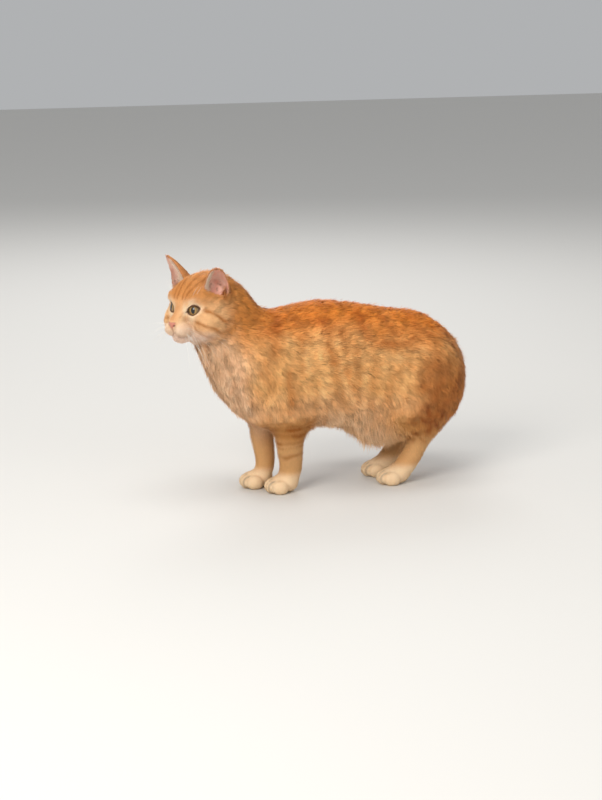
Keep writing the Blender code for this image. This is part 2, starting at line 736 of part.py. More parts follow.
def tidy_mesh(mesh, shortest):
    """Merge vertices closer than a length and drop faces with no width."""
    shape = bmesh.new()
    shape.from_mesh(mesh)
    bmesh.ops.remove_doubles(shape, verts=shape.verts, dist=shortest)
    bmesh.ops.dissolve_degenerate(shape, edges=shape.edges, dist=shortest)
    shape.to_mesh(mesh)
    shape.free()


def finish(node, coat):
    """Triangles, smooth shading and a material for one node."""
    shape = bmesh.new()
    shape.from_mesh(node.data)
    bmesh.ops.triangulate(shape, faces=shape.faces)
    shape.to_mesh(node.data)
    shape.free()
    node.data.materials.clear()
    node.data.materials.append(material(coat))
    node.data.shade_smooth()
    node.data.set_sharp_from_angle(angle=math.radians(40))


def part_legs(body, side, nodes, collection):
    """Part the four lengths of a foreleg and a hind leg from the body, from the paws up."""
    sign = -1 if side == "left" else 1

    def flat_cut(name, cut, x, y, inside):
        place, normal, size = cut
        tool = slab((x + place[0], y + place[1] * sign, place[2]), normal, size)
        nodes[name] = part_off(body, tool, name, inside, collection)

    def round_cut(name, cut, slide):
        (cx, cy, cz), radii, tilt, squareness = cut
        tool = shell((cx + slide, cy * sign, cz), radii, tilt, squareness)
        nodes[name] = part_off(body, tool, name, (cx, (cy + FLANK_DEPTH) * sign, cz), collection)

    x, y = FORE_PAWS[side]
    flat_cut(f"fore_paw_{side}", FORE_PAW_CUT, x, y, (x - PAW_LENGTH / 2, y, 0.0))
    flat_cut(f"forearm_{side}", ELBOW_CUT, x, 0.0, (x, y, FORE_PAW_CUT[0][2] + GAP))
    round_cut(f"upper_foreleg_{side}", SHOULDER_CUT, (x - FORE_PAWS["left"][0]) / 2)
    x, y = HIND_PAWS[side]
    flat_cut(f"hind_paw_{side}", HIND_PAW_CUT, x, y, (x - PAW_LENGTH / 2, y, 0.0))
    flat_cut(f"metatarsus_{side}", HOCK_CUT, 0.0, 0.0, (x, y, HIND_PAW_CUT[0][2] + GAP))
    round_cut(f"thigh_{side}", THIGH_CUT, 0.0)


def part_tail(body, nodes, collection):
    """Part the tail from the body and divide it into three lengths."""
    path = smooth_path(TAIL, TAIL_POINTS)
    source = body
    for name, place in TAIL_CUTS:
        tool = slab(path[place], path[place + 1] - path[place - 1], TAIL_CUT_SIZE)
        nodes[name] = part_off(source, tool, name, path[-1], collection)
        source = nodes[name]


def part_ear_and_eye(side, nodes, collection):
    """Part an ear from the head, open its eye socket and lids, and set the eyeball in them."""
    name = "left" if side > 0 else "right"
    place, reach = EAR_CUT
    tool = shell(head_point(place, side), (reach, reach, reach), 0.0, 2.0)
    tip = head_point(EAR_TIPS[side], side)
    nodes[f"ear_{name}"] = part_off(nodes["head"], tool, f"ear_{name}", tip, collection)
    centre = eye_centre(side)
    tools = [ball_object("socket", centre, EYE_RADIUS + GAP, 10, collection), opening_cutter(side)]
    combine(nodes["head"], "DIFFERENCE", tools)
    nodes[f"eye_{name}"] = ball_object(f"eye_{name}", centre, EYE_RADIUS, 10, collection)


def stand_over_origin(nodes):
    """Move all nodes level, so that the box round them is centred on the origin."""
    points = np.vstack([vertex_array(node.data) for node in nodes])
    centre = (points.max(axis=0) + points.min(axis=0)) / 2
    for node in nodes:
        node.data.transform(Matrix.Translation((-centre[0], -centre[1], 0.0)))


def main():
    for thing in list(bpy.data.objects):
        bpy.data.objects.remove(thing)
    cat = bpy.data.collections.new("cat")
    bpy.context.scene.collection.children.link(cat)

    fields = body_groups()
    body = rough_body(cat, *fields)
    fit_to_field(body, *fields)
    thin_out(body, BODY_TRIANGLES)
    tidy_mesh(body.data, SHORTEST_EDGE)
    combine(body, "UNION", [ear(1, "ear_left"), ear(-1, "ear_right"), tail_tube(), lid_rim(1), lid_rim(-1)])
    keep_largest(body)
    combine(body, "DIFFERENCE", [floor_block(), ear_scoop(1), ear_scoop(-1)])
    combine(body, "DIFFERENCE", [face_lines(fields)])
    nodes = {}
    part_tail(body, nodes, cat)
    for side in ("left", "right"):
        part_legs(body, side, nodes, cat)
    for name, (place, normal, size), inside in (
            ("head", HEAD_CUT, NOSE_TIP), ("neck", NECK_CUT, NECK_INSIDE),
            ("chest", CHEST_CUT, CHEST_INSIDE), ("belly", BELLY_CUT, BELLY_INSIDE)):
        nodes[name] = part_off(body, slab(place, normal, size), name, inside, cat)
    body.name = "rump"
    nodes["rump"] = body
    for side in (1, -1):
        part_ear_and_eye(side, nodes, cat)
    keep_largest(nodes["head"])

    for name, node in nodes.items():
        coat = "ginger"
        if name.startswith("eye"):
            coat = "eye"
        elif name.startswith("ear"):
            coat = "ear"
        elif "paw" in name or name.startswith(("forearm", "metatarsus")):
            coat = "cream"
        finish(node, coat)
    stand_over_origin(list(nodes.values()))


if __name__ == "__main__":
    main()
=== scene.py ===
"""The looks of a life-size ginger european shorthair cat, standing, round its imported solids.

One skin grows from the same named forms as the solids and lies under them by the coat's depth. Tufts stand on it
along the lie of the coat, worked out as whole arrays. Places are in metres in the forms' own frame, with the cat
facing -X and its left side towards -Y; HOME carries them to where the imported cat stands.
"""
import math

import bmesh
import bpy
import numpy as np
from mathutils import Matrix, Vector


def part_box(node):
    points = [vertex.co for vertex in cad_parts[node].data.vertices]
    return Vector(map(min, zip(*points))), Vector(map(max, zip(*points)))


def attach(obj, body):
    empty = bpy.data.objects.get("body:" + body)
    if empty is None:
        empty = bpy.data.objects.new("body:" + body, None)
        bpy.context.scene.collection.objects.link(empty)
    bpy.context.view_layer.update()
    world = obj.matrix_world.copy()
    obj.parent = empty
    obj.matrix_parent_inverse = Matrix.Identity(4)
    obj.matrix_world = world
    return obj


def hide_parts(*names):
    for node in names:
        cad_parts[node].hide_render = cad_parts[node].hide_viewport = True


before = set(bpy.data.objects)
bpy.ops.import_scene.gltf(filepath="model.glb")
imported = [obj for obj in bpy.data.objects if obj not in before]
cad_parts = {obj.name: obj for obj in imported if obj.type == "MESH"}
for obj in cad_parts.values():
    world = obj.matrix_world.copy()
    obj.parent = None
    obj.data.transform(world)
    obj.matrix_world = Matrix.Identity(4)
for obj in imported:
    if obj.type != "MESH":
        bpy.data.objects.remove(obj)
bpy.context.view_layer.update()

# Trunk: position along the body, top, bottom and half width of the coat
TRUNK_FRONT = -0.156
TRUNK_REAR = 0.2215
TRUNK_ROUND_FRONT = 0.075
TRUNK_ROUND_REAR = 0.104
TRUNK_NARROWING = 0.12
TRUNK_SECTIONS = (
    (-0.160, 0.238, 0.108, 0.052),
    (-0.110, 0.250, 0.098, 0.055),
    (-0.060, 0.2625, 0.091, 0.059),
    (0.000, 0.2685, 0.088, 0.064),
    (0.050, 0.262, 0.084, 0.066),
    (0.100, 0.252, 0.079, 0.065),
    (0.150, 0.2465, 0.074, 0.061),
    (0.200, 0.2370, 0.068, 0.057),
    (0.230, 0.2270, 0.068, 0.053),
)
BELLY = ((0.088, 0.0, 0.100), (0.040, 0.032, 0.030))

# Head: the nose tip, the turn to the left, and places as (behind the nose, left, above)
NOSE_TIP = Vector((-0.2225, -0.035, 0.250))
HEAD_TURN = math.radians(30)
SKULL = ((0.056, 0.0, 0.026), (0.039, 0.039, 0.0375))
CROWN = ((0.064, 0.0, 0.032), (0.029, 0.031, 0.028))
CHEEK = ((0.046, 0.027, -0.001), (0.026, 0.020, 0.023))
JAW = ((0.038, 0.0, -0.014), (0.026, 0.023, 0.013))
WHISKER_PAD = ((0.0135, 0.0090, -0.0075), (0.0135, 0.0110, 0.0098))
NOSE = ((0.0085, 0.0, 0.0010), (0.0085, 0.0072, 0.0064))
CHIN = ((0.0175, 0.0, -0.0185), (0.0110, 0.0105, 0.0085))
BROW = ((0.031, 0.0165, 0.033), (0.013, 0.015, 0.010))
BRIDGE = (((0.0085, 0.0, 0.003), 0.0070), ((0.0175, 0.0, 0.014), 0.0085), ((0.028, 0.0, 0.026), 0.0110))
NOSTRIL = (0.0036, 0.0042, -0.0008)
MOUTH_LINE = ((0.0050, 0.0000, -0.0118), (0.0075, 0.0052, -0.0158), (0.0135, 0.0115, -0.0162),
              (0.0205, 0.0158, -0.0135), (0.0275, 0.0185, -0.0110))
PHILTRUM = ((0.0030, 0.0, -0.0052), (0.0040, 0.0, -0.0085), (0.0050, 0.0, -0.0120))

# Eyes
EYE_OPENING = (0.0228, 0.0198, 0.0195)
EYE_RADIUS = 0.0105
CORNEA_RISE = 0.035
EYE_CLEARANCE = 0.0002
EYE_SINK = 0.0078
EYE_OUTWARD = math.radians(24)
EYE_UPWARD = math.radians(6)
LID_THICKNESS = 0.0012
EYE_WIDTH = 0.0182
EYE_HEIGHT = 0.0138
EYE_SLANT = 0.0018

# Ears
EAR_BASE = {1: (0.0552, 0.0315, 0.0415), -1: (0.0530, 0.0315, 0.0420)}
EAR_TIPS = {1: (0.0445, 0.0430, 0.0768), -1: (0.0405, 0.0420, 0.0860)}
EAR_ROUNDNESS = {1: 0.42, -1: 0.62}
EAR_RADIUS = 0.0195
EAR_SPREAD = math.radians(112)
EAR_WALL = 0.0016
EAR_BEND = 0.006
EAR_NARROWING = 0.42
EAR_PARTED = 0.0007
EAR_ROOT = 0.012
SCOOP_PLACE = (0.0120, 0.0012)
SCOOP_RADII = (0.0118, 0.0135, 0.0175)
EAR_FACING = {1: math.radians(46), -1: math.radians(14)}

# Neck: the throat and the nape as places and radii
THROAT = (((-0.166, -0.006, 0.252), 0.034), ((-0.146, 0.000, 0.226), 0.038), ((-0.112, 0.000, 0.195), 0.050))
NAPE = (((-0.152, -0.002, 0.276), 0.035), ((-0.133, 0.000, 0.259), 0.036), ((-0.106, 0.000, 0.210), 0.033))

# Legs: paw centres on the floor, outward distances positive on both sides
FORE_PAWS = {"left": (-0.0635, -0.021), "right": (-0.0890, 0.017)}
HIND_PAWS = {"left": (0.1020, -0.024), "right": (0.0970, 0.026)}
LEG_FULLNESS = {"left": 1.0, "right": 0.86}
SHOULDER = ((-0.084, 0.034, 0.168), (0.044, 0.026, 0.066))
THIGH = ((0.143, 0.034, 0.143), (0.053, 0.030, 0.068))
ELBOW = (-0.052, 0.034, 0.112)
FORELEG = ((0.0110, 0.0060, 0.081, 0.0216), (0.0125, 0.0030, 0.060, 0.0190),
           (0.0140, 0.0015, 0.045, 0.0169), (0.0135, 0.0, 0.030, 0.0156), (0.0090, 0.0, 0.016, 0.0148))
KNEE = (0.116, 0.038, 0.112)
HOCK = (0.1440, 0.0330, 0.078)
METATARSUS = ((0.0350, 0.0040, 0.057, 0.0158), (0.0280, 0.0020, 0.041, 0.0150),
              (0.0180, 0.0010, 0.025, 0.0147), (0.0080, 0.0, 0.015, 0.0144))
PAW_LENGTH = 0.0465
TOE = (0.0125, 0.0080, 0.0108)
TOE_CLEFTS = (-0.0085, 0.0, 0.0085)

# Tail: laid round the far thigh
TAIL = ((0.184, 0.016, 0.194), (0.2015, 0.049, 0.185), (0.204, 0.078, 0.159), (0.186, 0.093, 0.132),
        (0.148, 0.098, 0.114), (0.100, 0.096, 0.104), (0.052, 0.091, 0.100))
TAIL_RADII = (0.0150, 0.0112)

# Mesh sizes
SKIN_CELL = 0.0017
FIELD_REACH = 0.045
TRUNK_KEPT = 0.30
SKIN_FLOOR = 0.0009
SLOPE_STEP = 0.0002

# Tufts: how deep they root, how low they may hang, the size of a clump, the share that stands off, and their size
# on the unwrapped picture
ROOT_DEPTH = 0.0004
TUFT_FLOOR = 0.0003
CLUMP_CELL = 0.0068
STRAY_SHARE = 0.05
TUFT_PATCH = 0.003
TRUNK_AXIS = ((0.0, 0.0, 0.17), (1, 0, 0), (0, 0, -1))

# The photo's camera, worked out from the joints of the floor's tiles; lights as place, size, power and tint
CAMERA_PLACE = (-0.937, -2.800, 0.794)
CAMERA_TURN = (math.radians(77.2), 0.0, math.radians(-18.0))
CAMERA_LENS = 96.75
LIGHTS = (
    ("key", (-1.7, -1.7, 1.6), 1.2, 48.0, (1.0, 0.97, 0.92)),
    ("fill", (1.2, -2.2, 1.0), 1.6, 9.0, (1.0, 0.98, 0.96)),
    ("rim", (0.4, 1.9, 1.6), 1.2, 16.0, (1.0, 1.0, 1.0)),
    ("top", (-0.3, -0.2, 2.4), 1.4, 21.0, (1.0, 0.99, 0.97)),
)

HEAD_FORWARD = Vector((-math.cos(HEAD_TURN), -math.sin(HEAD_TURN), 0.0))
HEAD_LEFT = Vector((math.sin(HEAD_TURN), -math.cos(HEAD_TURN), 0.0))
HEAD_UP = Vector((0.0, 0.0, 1.0))
HEAD_AXES = np.array((-HEAD_FORWARD, HEAD_LEFT, HEAD_UP))


def head_point(place, side=1):
    """Place of a head point given as behind the nose tip, to the left and above it."""
    back, left, up = place
    return NOSE_TIP - HEAD_FORWARD * back + HEAD_LEFT * left * side + HEAD_UP * up


def in_head(points):
    """The way back of head_point: every row as behind the nose, left and above."""
    return (points - np.array(NOSE_TIP)) @ HEAD_AXES.T


def eye_axis(side):
    """Direction in which an eye looks."""
    level = HEAD_FORWARD * math.cos(EYE_OUTWARD) + HEAD_LEFT * math.sin(EYE_OUTWARD) * side
    return (level * math.cos(EYE_UPWARD) + HEAD_UP * math.sin(EYE_UPWARD)).normalized()


def eye_centre(side):
    """Middle of an eyeball, sunk behind its opening."""
    return head_point(EYE_OPENING, side) - eye_axis(side) * EYE_SINK


def eye_frame(side):
    """An eye's middle, the way it looks, the way out to its corner and the way up its lids, as arrays."""
    axis = eye_axis(side)
    across = (HEAD_LEFT * side - axis * axis.dot(HEAD_LEFT * side)).normalized()
    up = (HEAD_UP - axis * axis.dot(HEAD_UP)).normalized()
    return tuple(np.array(v) for v in (eye_centre(side), axis, across, up))


low_corner, high_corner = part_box("eye_left")
HOME = np.array((low_corner + high_corner) / 2 - eye_centre(1))
HOME[2] = 0.0


# ---------------------------------------------------------------- forms of the body

def smoothstep(value, low, high):
    """0 below low, 1 above high, eased between them."""
    t = np.clip((value - low) / (high - low), 0.0, 1.0)
    return t * t * (3 - 2 * t)


def bell(value, width):
    """1 where the value is 0, falling away over the width on either side."""
    return np.exp(-(value / width) ** 2)


def unit(rows):
    """Rows scaled to a length of 1."""
    return rows / np.maximum(np.linalg.norm(rows, axis=-1, keepdims=True), 1e-12)


def flattened(rows, normals):
    """Rows with their share along the normals taken away."""
    return rows - normals * (rows * normals).sum(axis=1, keepdims=True)


def lattice_noise(points, cell, seed):
    """Smooth noise from -1 to 1: hashed values at the corners of cubes, eased between them."""
    grid = points / cell
    low = np.floor(grid).astype(np.int64)
    part = grid - low
    ease = part * part * (3 - 2 * part)
    total = np.zeros(len(points))
    for corner in range(8):
        bit = np.array((corner & 1, (corner >> 1) & 1, (corner >> 2) & 1))
        key = (low + bit) @ np.array((73856093, 19349663, 83492791)) + seed * 7919
        key = (key ^ (key >> 13)) * 1274126177
        value = ((key ^ (key >> 16)) & 0xFFFF) / 32767.5 - 1
        total += value * np.where(bit, ease, 1 - ease).prod(axis=1)
    return total


def ellipsoid_distance(points, centre, radii, axes=np.eye(3)):
    """Distance to an ellipsoid whose axes are the rows of the given matrix."""
    local = (points - np.array(centre)) @ np.array(axes).T
    scaled = local / np.array(radii)
    length = np.linalg.norm(scaled, axis=1)
    slope = np.linalg.norm(scaled / np.array(radii), axis=1)
    return length * (length - 1.0) / np.maximum(slope, 1e-9)


def smooth_path(places, count):
    """Evenly spread points on a smooth curve through the given rows."""
    places = np.array(places, dtype=float)
    ends = np.vstack((2 * places[0] - places[1], places, 2 * places[-1] - places[-2]))
    rows = []
    for t in np.linspace(0.0, len(places) - 1.000001, count):
        i = int(t)
        u = t - i
        a, b, c, d = ends[i:i + 4]
        rows.append(0.5 * (2 * b + (c - a) * u + (2 * a - 5 * b + 4 * c - d) * u * u
                           + (3 * b - a - 3 * c + d) * u ** 3))
    return np.array(rows)


def tube_distance(points, rows):
    """Distance to a tube whose rows are x, y, z and radius."""
    best = np.full(len(points), 1e9)
    for a, b in zip(rows[:-1], rows[1:]):
        along = b[:3] - a[:3]
        t = np.clip((points - a[:3]) @ along / (along @ along), 0.0, 1.0)
        near = a[:3] + t[:, None] * along
        radius = a[3] + t * (b[3] - a[3])
        best = np.minimum(best, np.linalg.norm(points - near, axis=1) - radius)
    return best


def tube_rows(stations, count=14):
    """Path rows for stations of a place and a radius."""
    return smooth_path([(*place, radius) for place, radius in stations], count)


TRUNK_TABLE = smooth_path(TRUNK_SECTIONS, 60)
TAIL_ROWS = np.hstack((smooth_path(TAIL, 40), np.linspace(*TAIL_RADII, 40)[:, None]))


def tail_row(share):
    """Number of the tail's row at a share of its length."""
    last = len(TAIL_ROWS) - 1
    return np.clip((share * last).astype(int), 0, last)


def trunk_distance(points):
    """Distance to the trunk: egg-shaped sections along X, rounded off at both ends."""
    x, y, z = points.T
    top, bottom, half = (np.interp(x, TRUNK_TABLE[:, 0], TRUNK_TABLE[:, i]) for i in (1, 2, 3))
    middle = (top + bottom) / 2
    height = (top - bottom) / 2
    rise = (z - middle) / height
    width = half * (1 - TRUNK_NARROWING * np.clip(rise, -1.2, 1.2))
    front = np.clip((TRUNK_FRONT + TRUNK_ROUND_FRONT - x) / TRUNK_ROUND_FRONT, 0, None)
    rear = np.clip((x - TRUNK_REAR + TRUNK_ROUND_REAR) / TRUNK_ROUND_REAR, 0, None)
    reach = np.sqrt((y / width) ** 2 + rise ** 2 + front ** 2 + rear ** 2)
    return (reach - 1) * np.minimum(width, height)


def blend(first, second, radius):
    """Smooth union of two distances."""
    near = np.maximum(radius - np.abs(first - second), 0.0) / radius
    return np.minimum(first, second) - near * near * radius / 4


def mirrored(place, sign):
    """A place given with an outward distance, set on the left (-1) or right (+1) side."""
    return (place[0], place[1] * sign, place[2])


def paw_forms(x, y):
    """A paw: the palm and four toes, the two outer ones set back."""
    front = x - PAW_LENGTH / 2
    forms = [("ellipsoid", (x + 0.003, y, 0.0125), (0.0205, 0.0150, 0.0125), 0.006)]
    for across, back in ((-0.0125, 0.0065), (-0.0045, 0.0), (0.0045, 0.0), (0.0125, 0.0065)):
        centre = (front + TOE[0] + back, y + across, TOE[2] - 0.0015)
        forms.append(("ellipsoid", centre, TOE, 0.0016))
    return forms


def foreleg_forms(side):
    """Shoulder, foreleg and paw of one side, from the top down."""
    sign = -1 if side == "left" else 1
    x, y = FORE_PAWS[side]
    full = LEG_FULLNESS[side]
    elbow_x = ELBOW[0] + 0.7 * (x - FORE_PAWS["left"][0])
    path = [((elbow_x - 0.012, ELBOW[1] * sign, ELBOW[2] + 0.028), 0.030 * full),
            ((elbow_x, ELBOW[1] * sign, ELBOW[2]), 0.0265 * full)]
    path += [((x + back, y + out * sign, z), r * full) for back, out, z, r in FORELEG]
    return [("ellipsoid", mirrored(SHOULDER[0], sign), SHOULDER[1], 0.0), ("tube", path, 0.022)] + paw_forms(x, y)


def hind_leg_forms(side):
    """Thigh, shank, hock and paw of one side, from the top down."""
    sign = -1 if side == "left" else 1
    x, y = HIND_PAWS[side]
    slide = x - HIND_PAWS["left"][0]
    knee = (KNEE[0] + 0.4 * slide, KNEE[1] * sign, KNEE[2])
    hock = (HOCK[0] + 0.8 * slide, HOCK[1] * sign, HOCK[2])
    middle = ((knee[0] + hock[0]) / 2 + 0.010, (knee[1] + hock[1]) / 2, (knee[2] + hock[2]) / 2 + 0.003)
    path = [(knee, 0.0310), (middle, 0.0265), (hock, 0.0190)]
    path += [((x + back, y + out * sign, z), r) for back, out, z, r in METATARSUS]
    return [("ellipsoid", mirrored(THIGH[0], sign), THIGH[1], 0.0), ("tube", path, 0.022)] + paw_forms(x, y)


def head_forms():
    """The forms of the head, with the muzzle, brows, cheeks and the lids' swell."""
    forms = []
    for place, radii, soft, sides in (
            (*SKULL, 0.012, (0,)), (*CROWN, 0.012, (0,)), (*CHEEK, 0.016, (1, -1)),
            (*JAW, 0.012, (0,)), (*BROW, 0.010, (1, -1)), (*CHIN, 0.006, (0,)),
            (*WHISKER_PAD, 0.005, (1, -1)), (*NOSE, 0.003, (0,))):
        for side in sides:
            forms.append(("turned", tuple(head_point(place, side or 1)), radii, soft))
    path = tuple((tuple(head_point(place)), radius) for place, radius in BRIDGE)
    forms.append(("tube", path, 0.010))
    for side in (1, -1):
        radius = EYE_RADIUS + LID_THICKNESS
        forms.append(("ellipsoid", tuple(eye_centre(side)), (radius,) * 3, 0.004))
    return forms


REGIONS = {
    "trunk": None,
    "belly": [("ellipsoid", *BELLY, 0.0)],
    "neck": [("tube", THROAT, 0.0), ("tube", NAPE, 0.020)],
    "head": head_forms(),
    "foreleg_left": foreleg_forms("left"),
    "hind_left": hind_leg_forms("left"),
    "foreleg_right": foreleg_forms("right"),
    "hind_right": hind_leg_forms("right"),
}
TRUNK_BLENDS = {"belly": 0.030, "neck": 0.028, "head": 0.016}
LIMB_BLEND = 0.026


def form_distance(points, form):
    """Distance to one form, worked out only for the points near it."""
    if form[0] == "tube":
        rows = tube_rows(form[1])
        low = (rows[:, :3] - rows[:, 3:]).min(axis=0)
        high = (rows[:, :3] + rows[:, 3:]).max(axis=0)
    else:
        low = np.array(form[1]) - max(form[2])
        high = np.array(form[1]) + max(form[2])
    near = ((points > low - FIELD_REACH) & (points < high + FIELD_REACH)).all(axis=1)
    result = np.full(len(points), 1.0)
    if form[0] == "tube":
        result[near] = tube_distance(points[near], rows)
    else:
        axes = HEAD_AXES if form[0] == "turned" else np.eye(3)
        result[near] = ellipsoid_distance(points[near], form[1], form[2], axes)
    return result


def group_distance(points, forms):
    """Distance to a group of forms, each blended into those before it."""
    result = form_distance(points, forms[0])
    for form in forms[1:]:
        result = blend(result, form_distance(points, form), form[-1])
    return result


def region_distances(points):
    """Distance of every point to each region of the body."""
    return {name: trunk_distance(points) if forms is None else group_distance(points, forms)
            for name, forms in REGIONS.items()}


def ear_frame(side):
    """An ear's base and tip, and its axis, the way it faces and the way across it, as arrays."""
    base = head_point(EAR_BASE[side], side)
    tip = head_point(EAR_TIPS[side], side)
    axis = (tip - base).normalized()
    facing = HEAD_FORWARD * math.cos(EAR_FACING[side]) + HEAD_LEFT * math.sin(EAR_FACING[side]) * side
    facing = (facing - axis * facing.dot(axis)).normalized()
    across = axis.cross(facing).normalized()
    base = base - axis * EAR_ROOT
    return tuple(np.array(v) for v in (base, tip, axis, facing, across))


def ear_radius(share, side):
    """Radius of an ear's cup at a share of its length: narrow at the root, widest low down, closing to the tip."""
    waist = 1 - 0.45 * (1 - smoothstep(share, 0.0, 0.42))
    return EAR_RADIUS * waist * (1 - share) ** EAR_ROUNDNESS[side] + 0.0010


def ear_spread(share):
    """Half the angle that an ear's wall covers, which closes towards the tip."""
    return EAR_SPREAD * (1 - EAR_NARROWING * share)


def ear_middle(share, side):
    """Places on the bent middle line of an ear."""
    base, tip, axis, facing, _ = ear_frame(side)
    along = base + (axis * np.linalg.norm(tip - base)) * share[:, None]
    return along + facing * (EAR_BEND * share * share)[:, None]


def on_ear(share, angle, radius, side):
    """Places so far along an ear, so far round from its back and so far from its middle line."""
    base, tip, axis, facing, across = ear_frame(side)
    along = base + (axis * np.linalg.norm(tip - base)) * share[:, None]
    back = (EAR_BEND * share * share - np.cos(angle) * radius)[:, None] * facing
    return along + back + (np.sin(angle) * radius)[:, None] * across


def ear_hollow(points, side):
    """Distance to the hollow low in an ear, and the way from every point to the hollow's middle."""
    base, _, axis, facing, across = ear_frame(side)
    middle = base + axis * (EAR_ROOT + SCOOP_PLACE[0]) - facing * SCOOP_PLACE[1]
    return ellipsoid_distance(points, middle, SCOOP_RADII, (facing, across, axis)), middle - points


def ear_place(points, side):
    """Every point seen from an ear: share of its length, angle from its back, distance from its axis and wall."""
    base, tip, axis, facing, across = ear_frame(side)
    length = np.linalg.norm(tip - base)
    away = points - base
    share = away @ axis / length
    inner = np.clip(share, 0.0, 1.0)
    front = away @ facing - EAR_BEND * inner * inner
    aside = away @ across
    radius = ear_radius(inner, side)
    return share, np.arctan2(aside, -front), np.hypot(front, aside), radius, length


def ear_distance(points, side):
    """Distance to an ear's cup: a cone that narrows to its tip, open in front, as a wall with a thickness."""
    share, angle, reach, radius, length = ear_place(points, side)
    inner = np.clip(share, 0.0, 0.98)
    slope = EAR_RADIUS * EAR_ROUNDNESS[side] * (1 - inner) ** (EAR_ROUNDNESS[side] - 1) / length
    wall = (reach - radius) / np.sqrt(1 + slope * slope)
    spread = ear_spread(np.clip(share, 0, 1))
    beyond = np.maximum(np.abs(angle) - spread, 0.0) * reach
    over = np.maximum(np.abs(share - 0.5) - 0.5, 0.0) * length
    thick = EAR_WALL * (0.8 + 0.9 * (1 - np.clip(share, 0, 1)) ** 2)
    return np.sqrt(wall ** 2 + beyond ** 2 + over ** 2) - thick / 2


def face_reach(points):
    """How far every point lies from the middle of the face, about 1 at the ears."""
    back, left, up = in_head(points).T
    return np.sqrt((back / 0.055) ** 2 + (left / 0.055) ** 2 + ((up - 0.010) / 0.060) ** 2)


def coat_depth(points):
    """How deep the skin lies under the tips of the coat: least on nose, lids and paws, most on the trunk."""
    from_face = face_reach(points)
    head = 0.0004 + 0.0016 * smoothstep(from_face, 0.15, 0.80) + 0.0030 * smoothstep(from_face, 0.85, 1.45)
    for side in (1, -1):
        lid = np.linalg.norm(points - np.array(eye_centre(side)), axis=1)
        head *= 0.25 + 0.75 * smoothstep(lid, 0.0120, 0.0190)
    z = points[:, 2]
    body = 0.0007 + 0.0016 * smoothstep(z, 0.022, 0.070) + 0.0030 * smoothstep(z, 0.070, 0.135)
    return body + (head - body) * smoothstep(-from_face, -1.5, -1.2)


def skin_distance(points):
    """Distance to the skin: the regions blended, lowered by the coat's depth, with tail and hollowed ears."""
    parts = region_distances(points)
    trunk = parts["trunk"]
    for name, radius in TRUNK_BLENDS.items():
        trunk = blend(trunk, parts[name], radius)
    result = trunk
    for name in ("foreleg_left", "hind_left", "foreleg_right", "hind_right"):
        result = np.minimum(result, blend(trunk, parts[name], LIMB_BLEND))
    result = result + coat_depth(points)
    result = blend(result, tube_distance(points, TAIL_ROWS - np.array((0, 0, 0, 0.0045))), 0.008)
    for side in (1, -1):
        near = np.linalg.norm(points - ear_frame(side)[0], axis=1) < 0.065
        part = points[near]
        joined = blend(result[near], ear_distance(part, side), 0.004)
        result[near] = -blend(-joined, ear_hollow(part, side)[0], 0.003)
    return np.maximum(result, SKIN_FLOOR - points[:, 2])


# ---------------------------------------------------------------- meshes from arrays

def new_mesh(name, points, faces):
    """A mesh from arrays of points and of faces with one number of corners."""
    mesh = bpy.data.meshes.new(name)
    count, corners = faces.shape
    mesh.vertices.add(len(points))
    mesh.vertices.foreach_set("co", points.astype(np.float32).ravel())
    mesh.loops.add(count * corners)
    mesh.loops.foreach_set("vertex_index", faces.astype(np.int32).ravel())
    mesh.polygons.add(count)
    mesh.polygons.foreach_set("loop_start", np.arange(0, count * corners, corners, dtype=np.int32))
    mesh.update(calc_edges=True)
    mesh.validate()
    return mesh


def new_object(name, mesh):
    """An object for a mesh, in the scene."""
    thing = bpy.data.objects.new(name, mesh)
    bpy.context.scene.collection.objects.link(thing)
    return thing


def point_array(mesh):
    """The vertices of a mesh as rows."""
    points = np.empty(len(mesh.vertices) * 3, dtype=np.float32)
    mesh.vertices.foreach_get("co", points)
    return points.reshape(-1, 3).astype(float)


def normal_array(mesh):
    """The vertex normals of a mesh as rows."""
    normals = np.empty(len(mesh.vertices) * 3, dtype=np.float32)
    mesh.vertex_normals.foreach_get("vector", normals)
    return normals.reshape(-1, 3).astype(float)


def apply_modifiers(thing):
    """Replace an object's mesh with its evaluated mesh."""
    bpy.context.view_layer.update()
    evaluated = thing.evaluated_get(bpy.context.evaluated_depsgraph_get())
    mesh = bpy.data.meshes.new_from_object(evaluated)
    thing.modifiers.clear()
    thing.data = mesh


def ball_faces(rows, count):
    """Triangles of a ball with rows of so many points between its two poles."""
    i = np.arange(count)
    k = (i + 1) % count
    faces = [np.stack((np.zeros_like(i), 1 + i, 1 + k), axis=1)]
    for row in range(rows - 1):
        low = 1 + row * count
        faces.append(np.stack((low + i, low + count + i, low + count + k), axis=1))
        faces.append(np.stack((low + i, low + count + k, low + k), axis=1))
    last = 1 + (rows - 1) * count
    faces.append(np.stack((last + i, np.full_like(i, 1 + rows * count), last + k), axis=1))
    return np.vstack(faces)


def ball_grid(rings):
    """A unit ball of triangles from two parameters, height and turn, with its poles closed."""
    rise = np.linspace(0, math.pi, rings + 1)[1:-1]
    turn = np.arange(2 * rings) * math.pi / rings
    ring = np.stack((np.outer(np.sin(rise), np.cos(turn)), np.outer(np.sin(rise), np.sin(turn)),
                     np.outer(np.cos(rise), np.ones(2 * rings))), axis=-1).reshape(-1, 3)
    return np.vstack(((0, 0, 1), ring, (0, 0, -1))), ball_faces(rings - 1, 2 * rings)


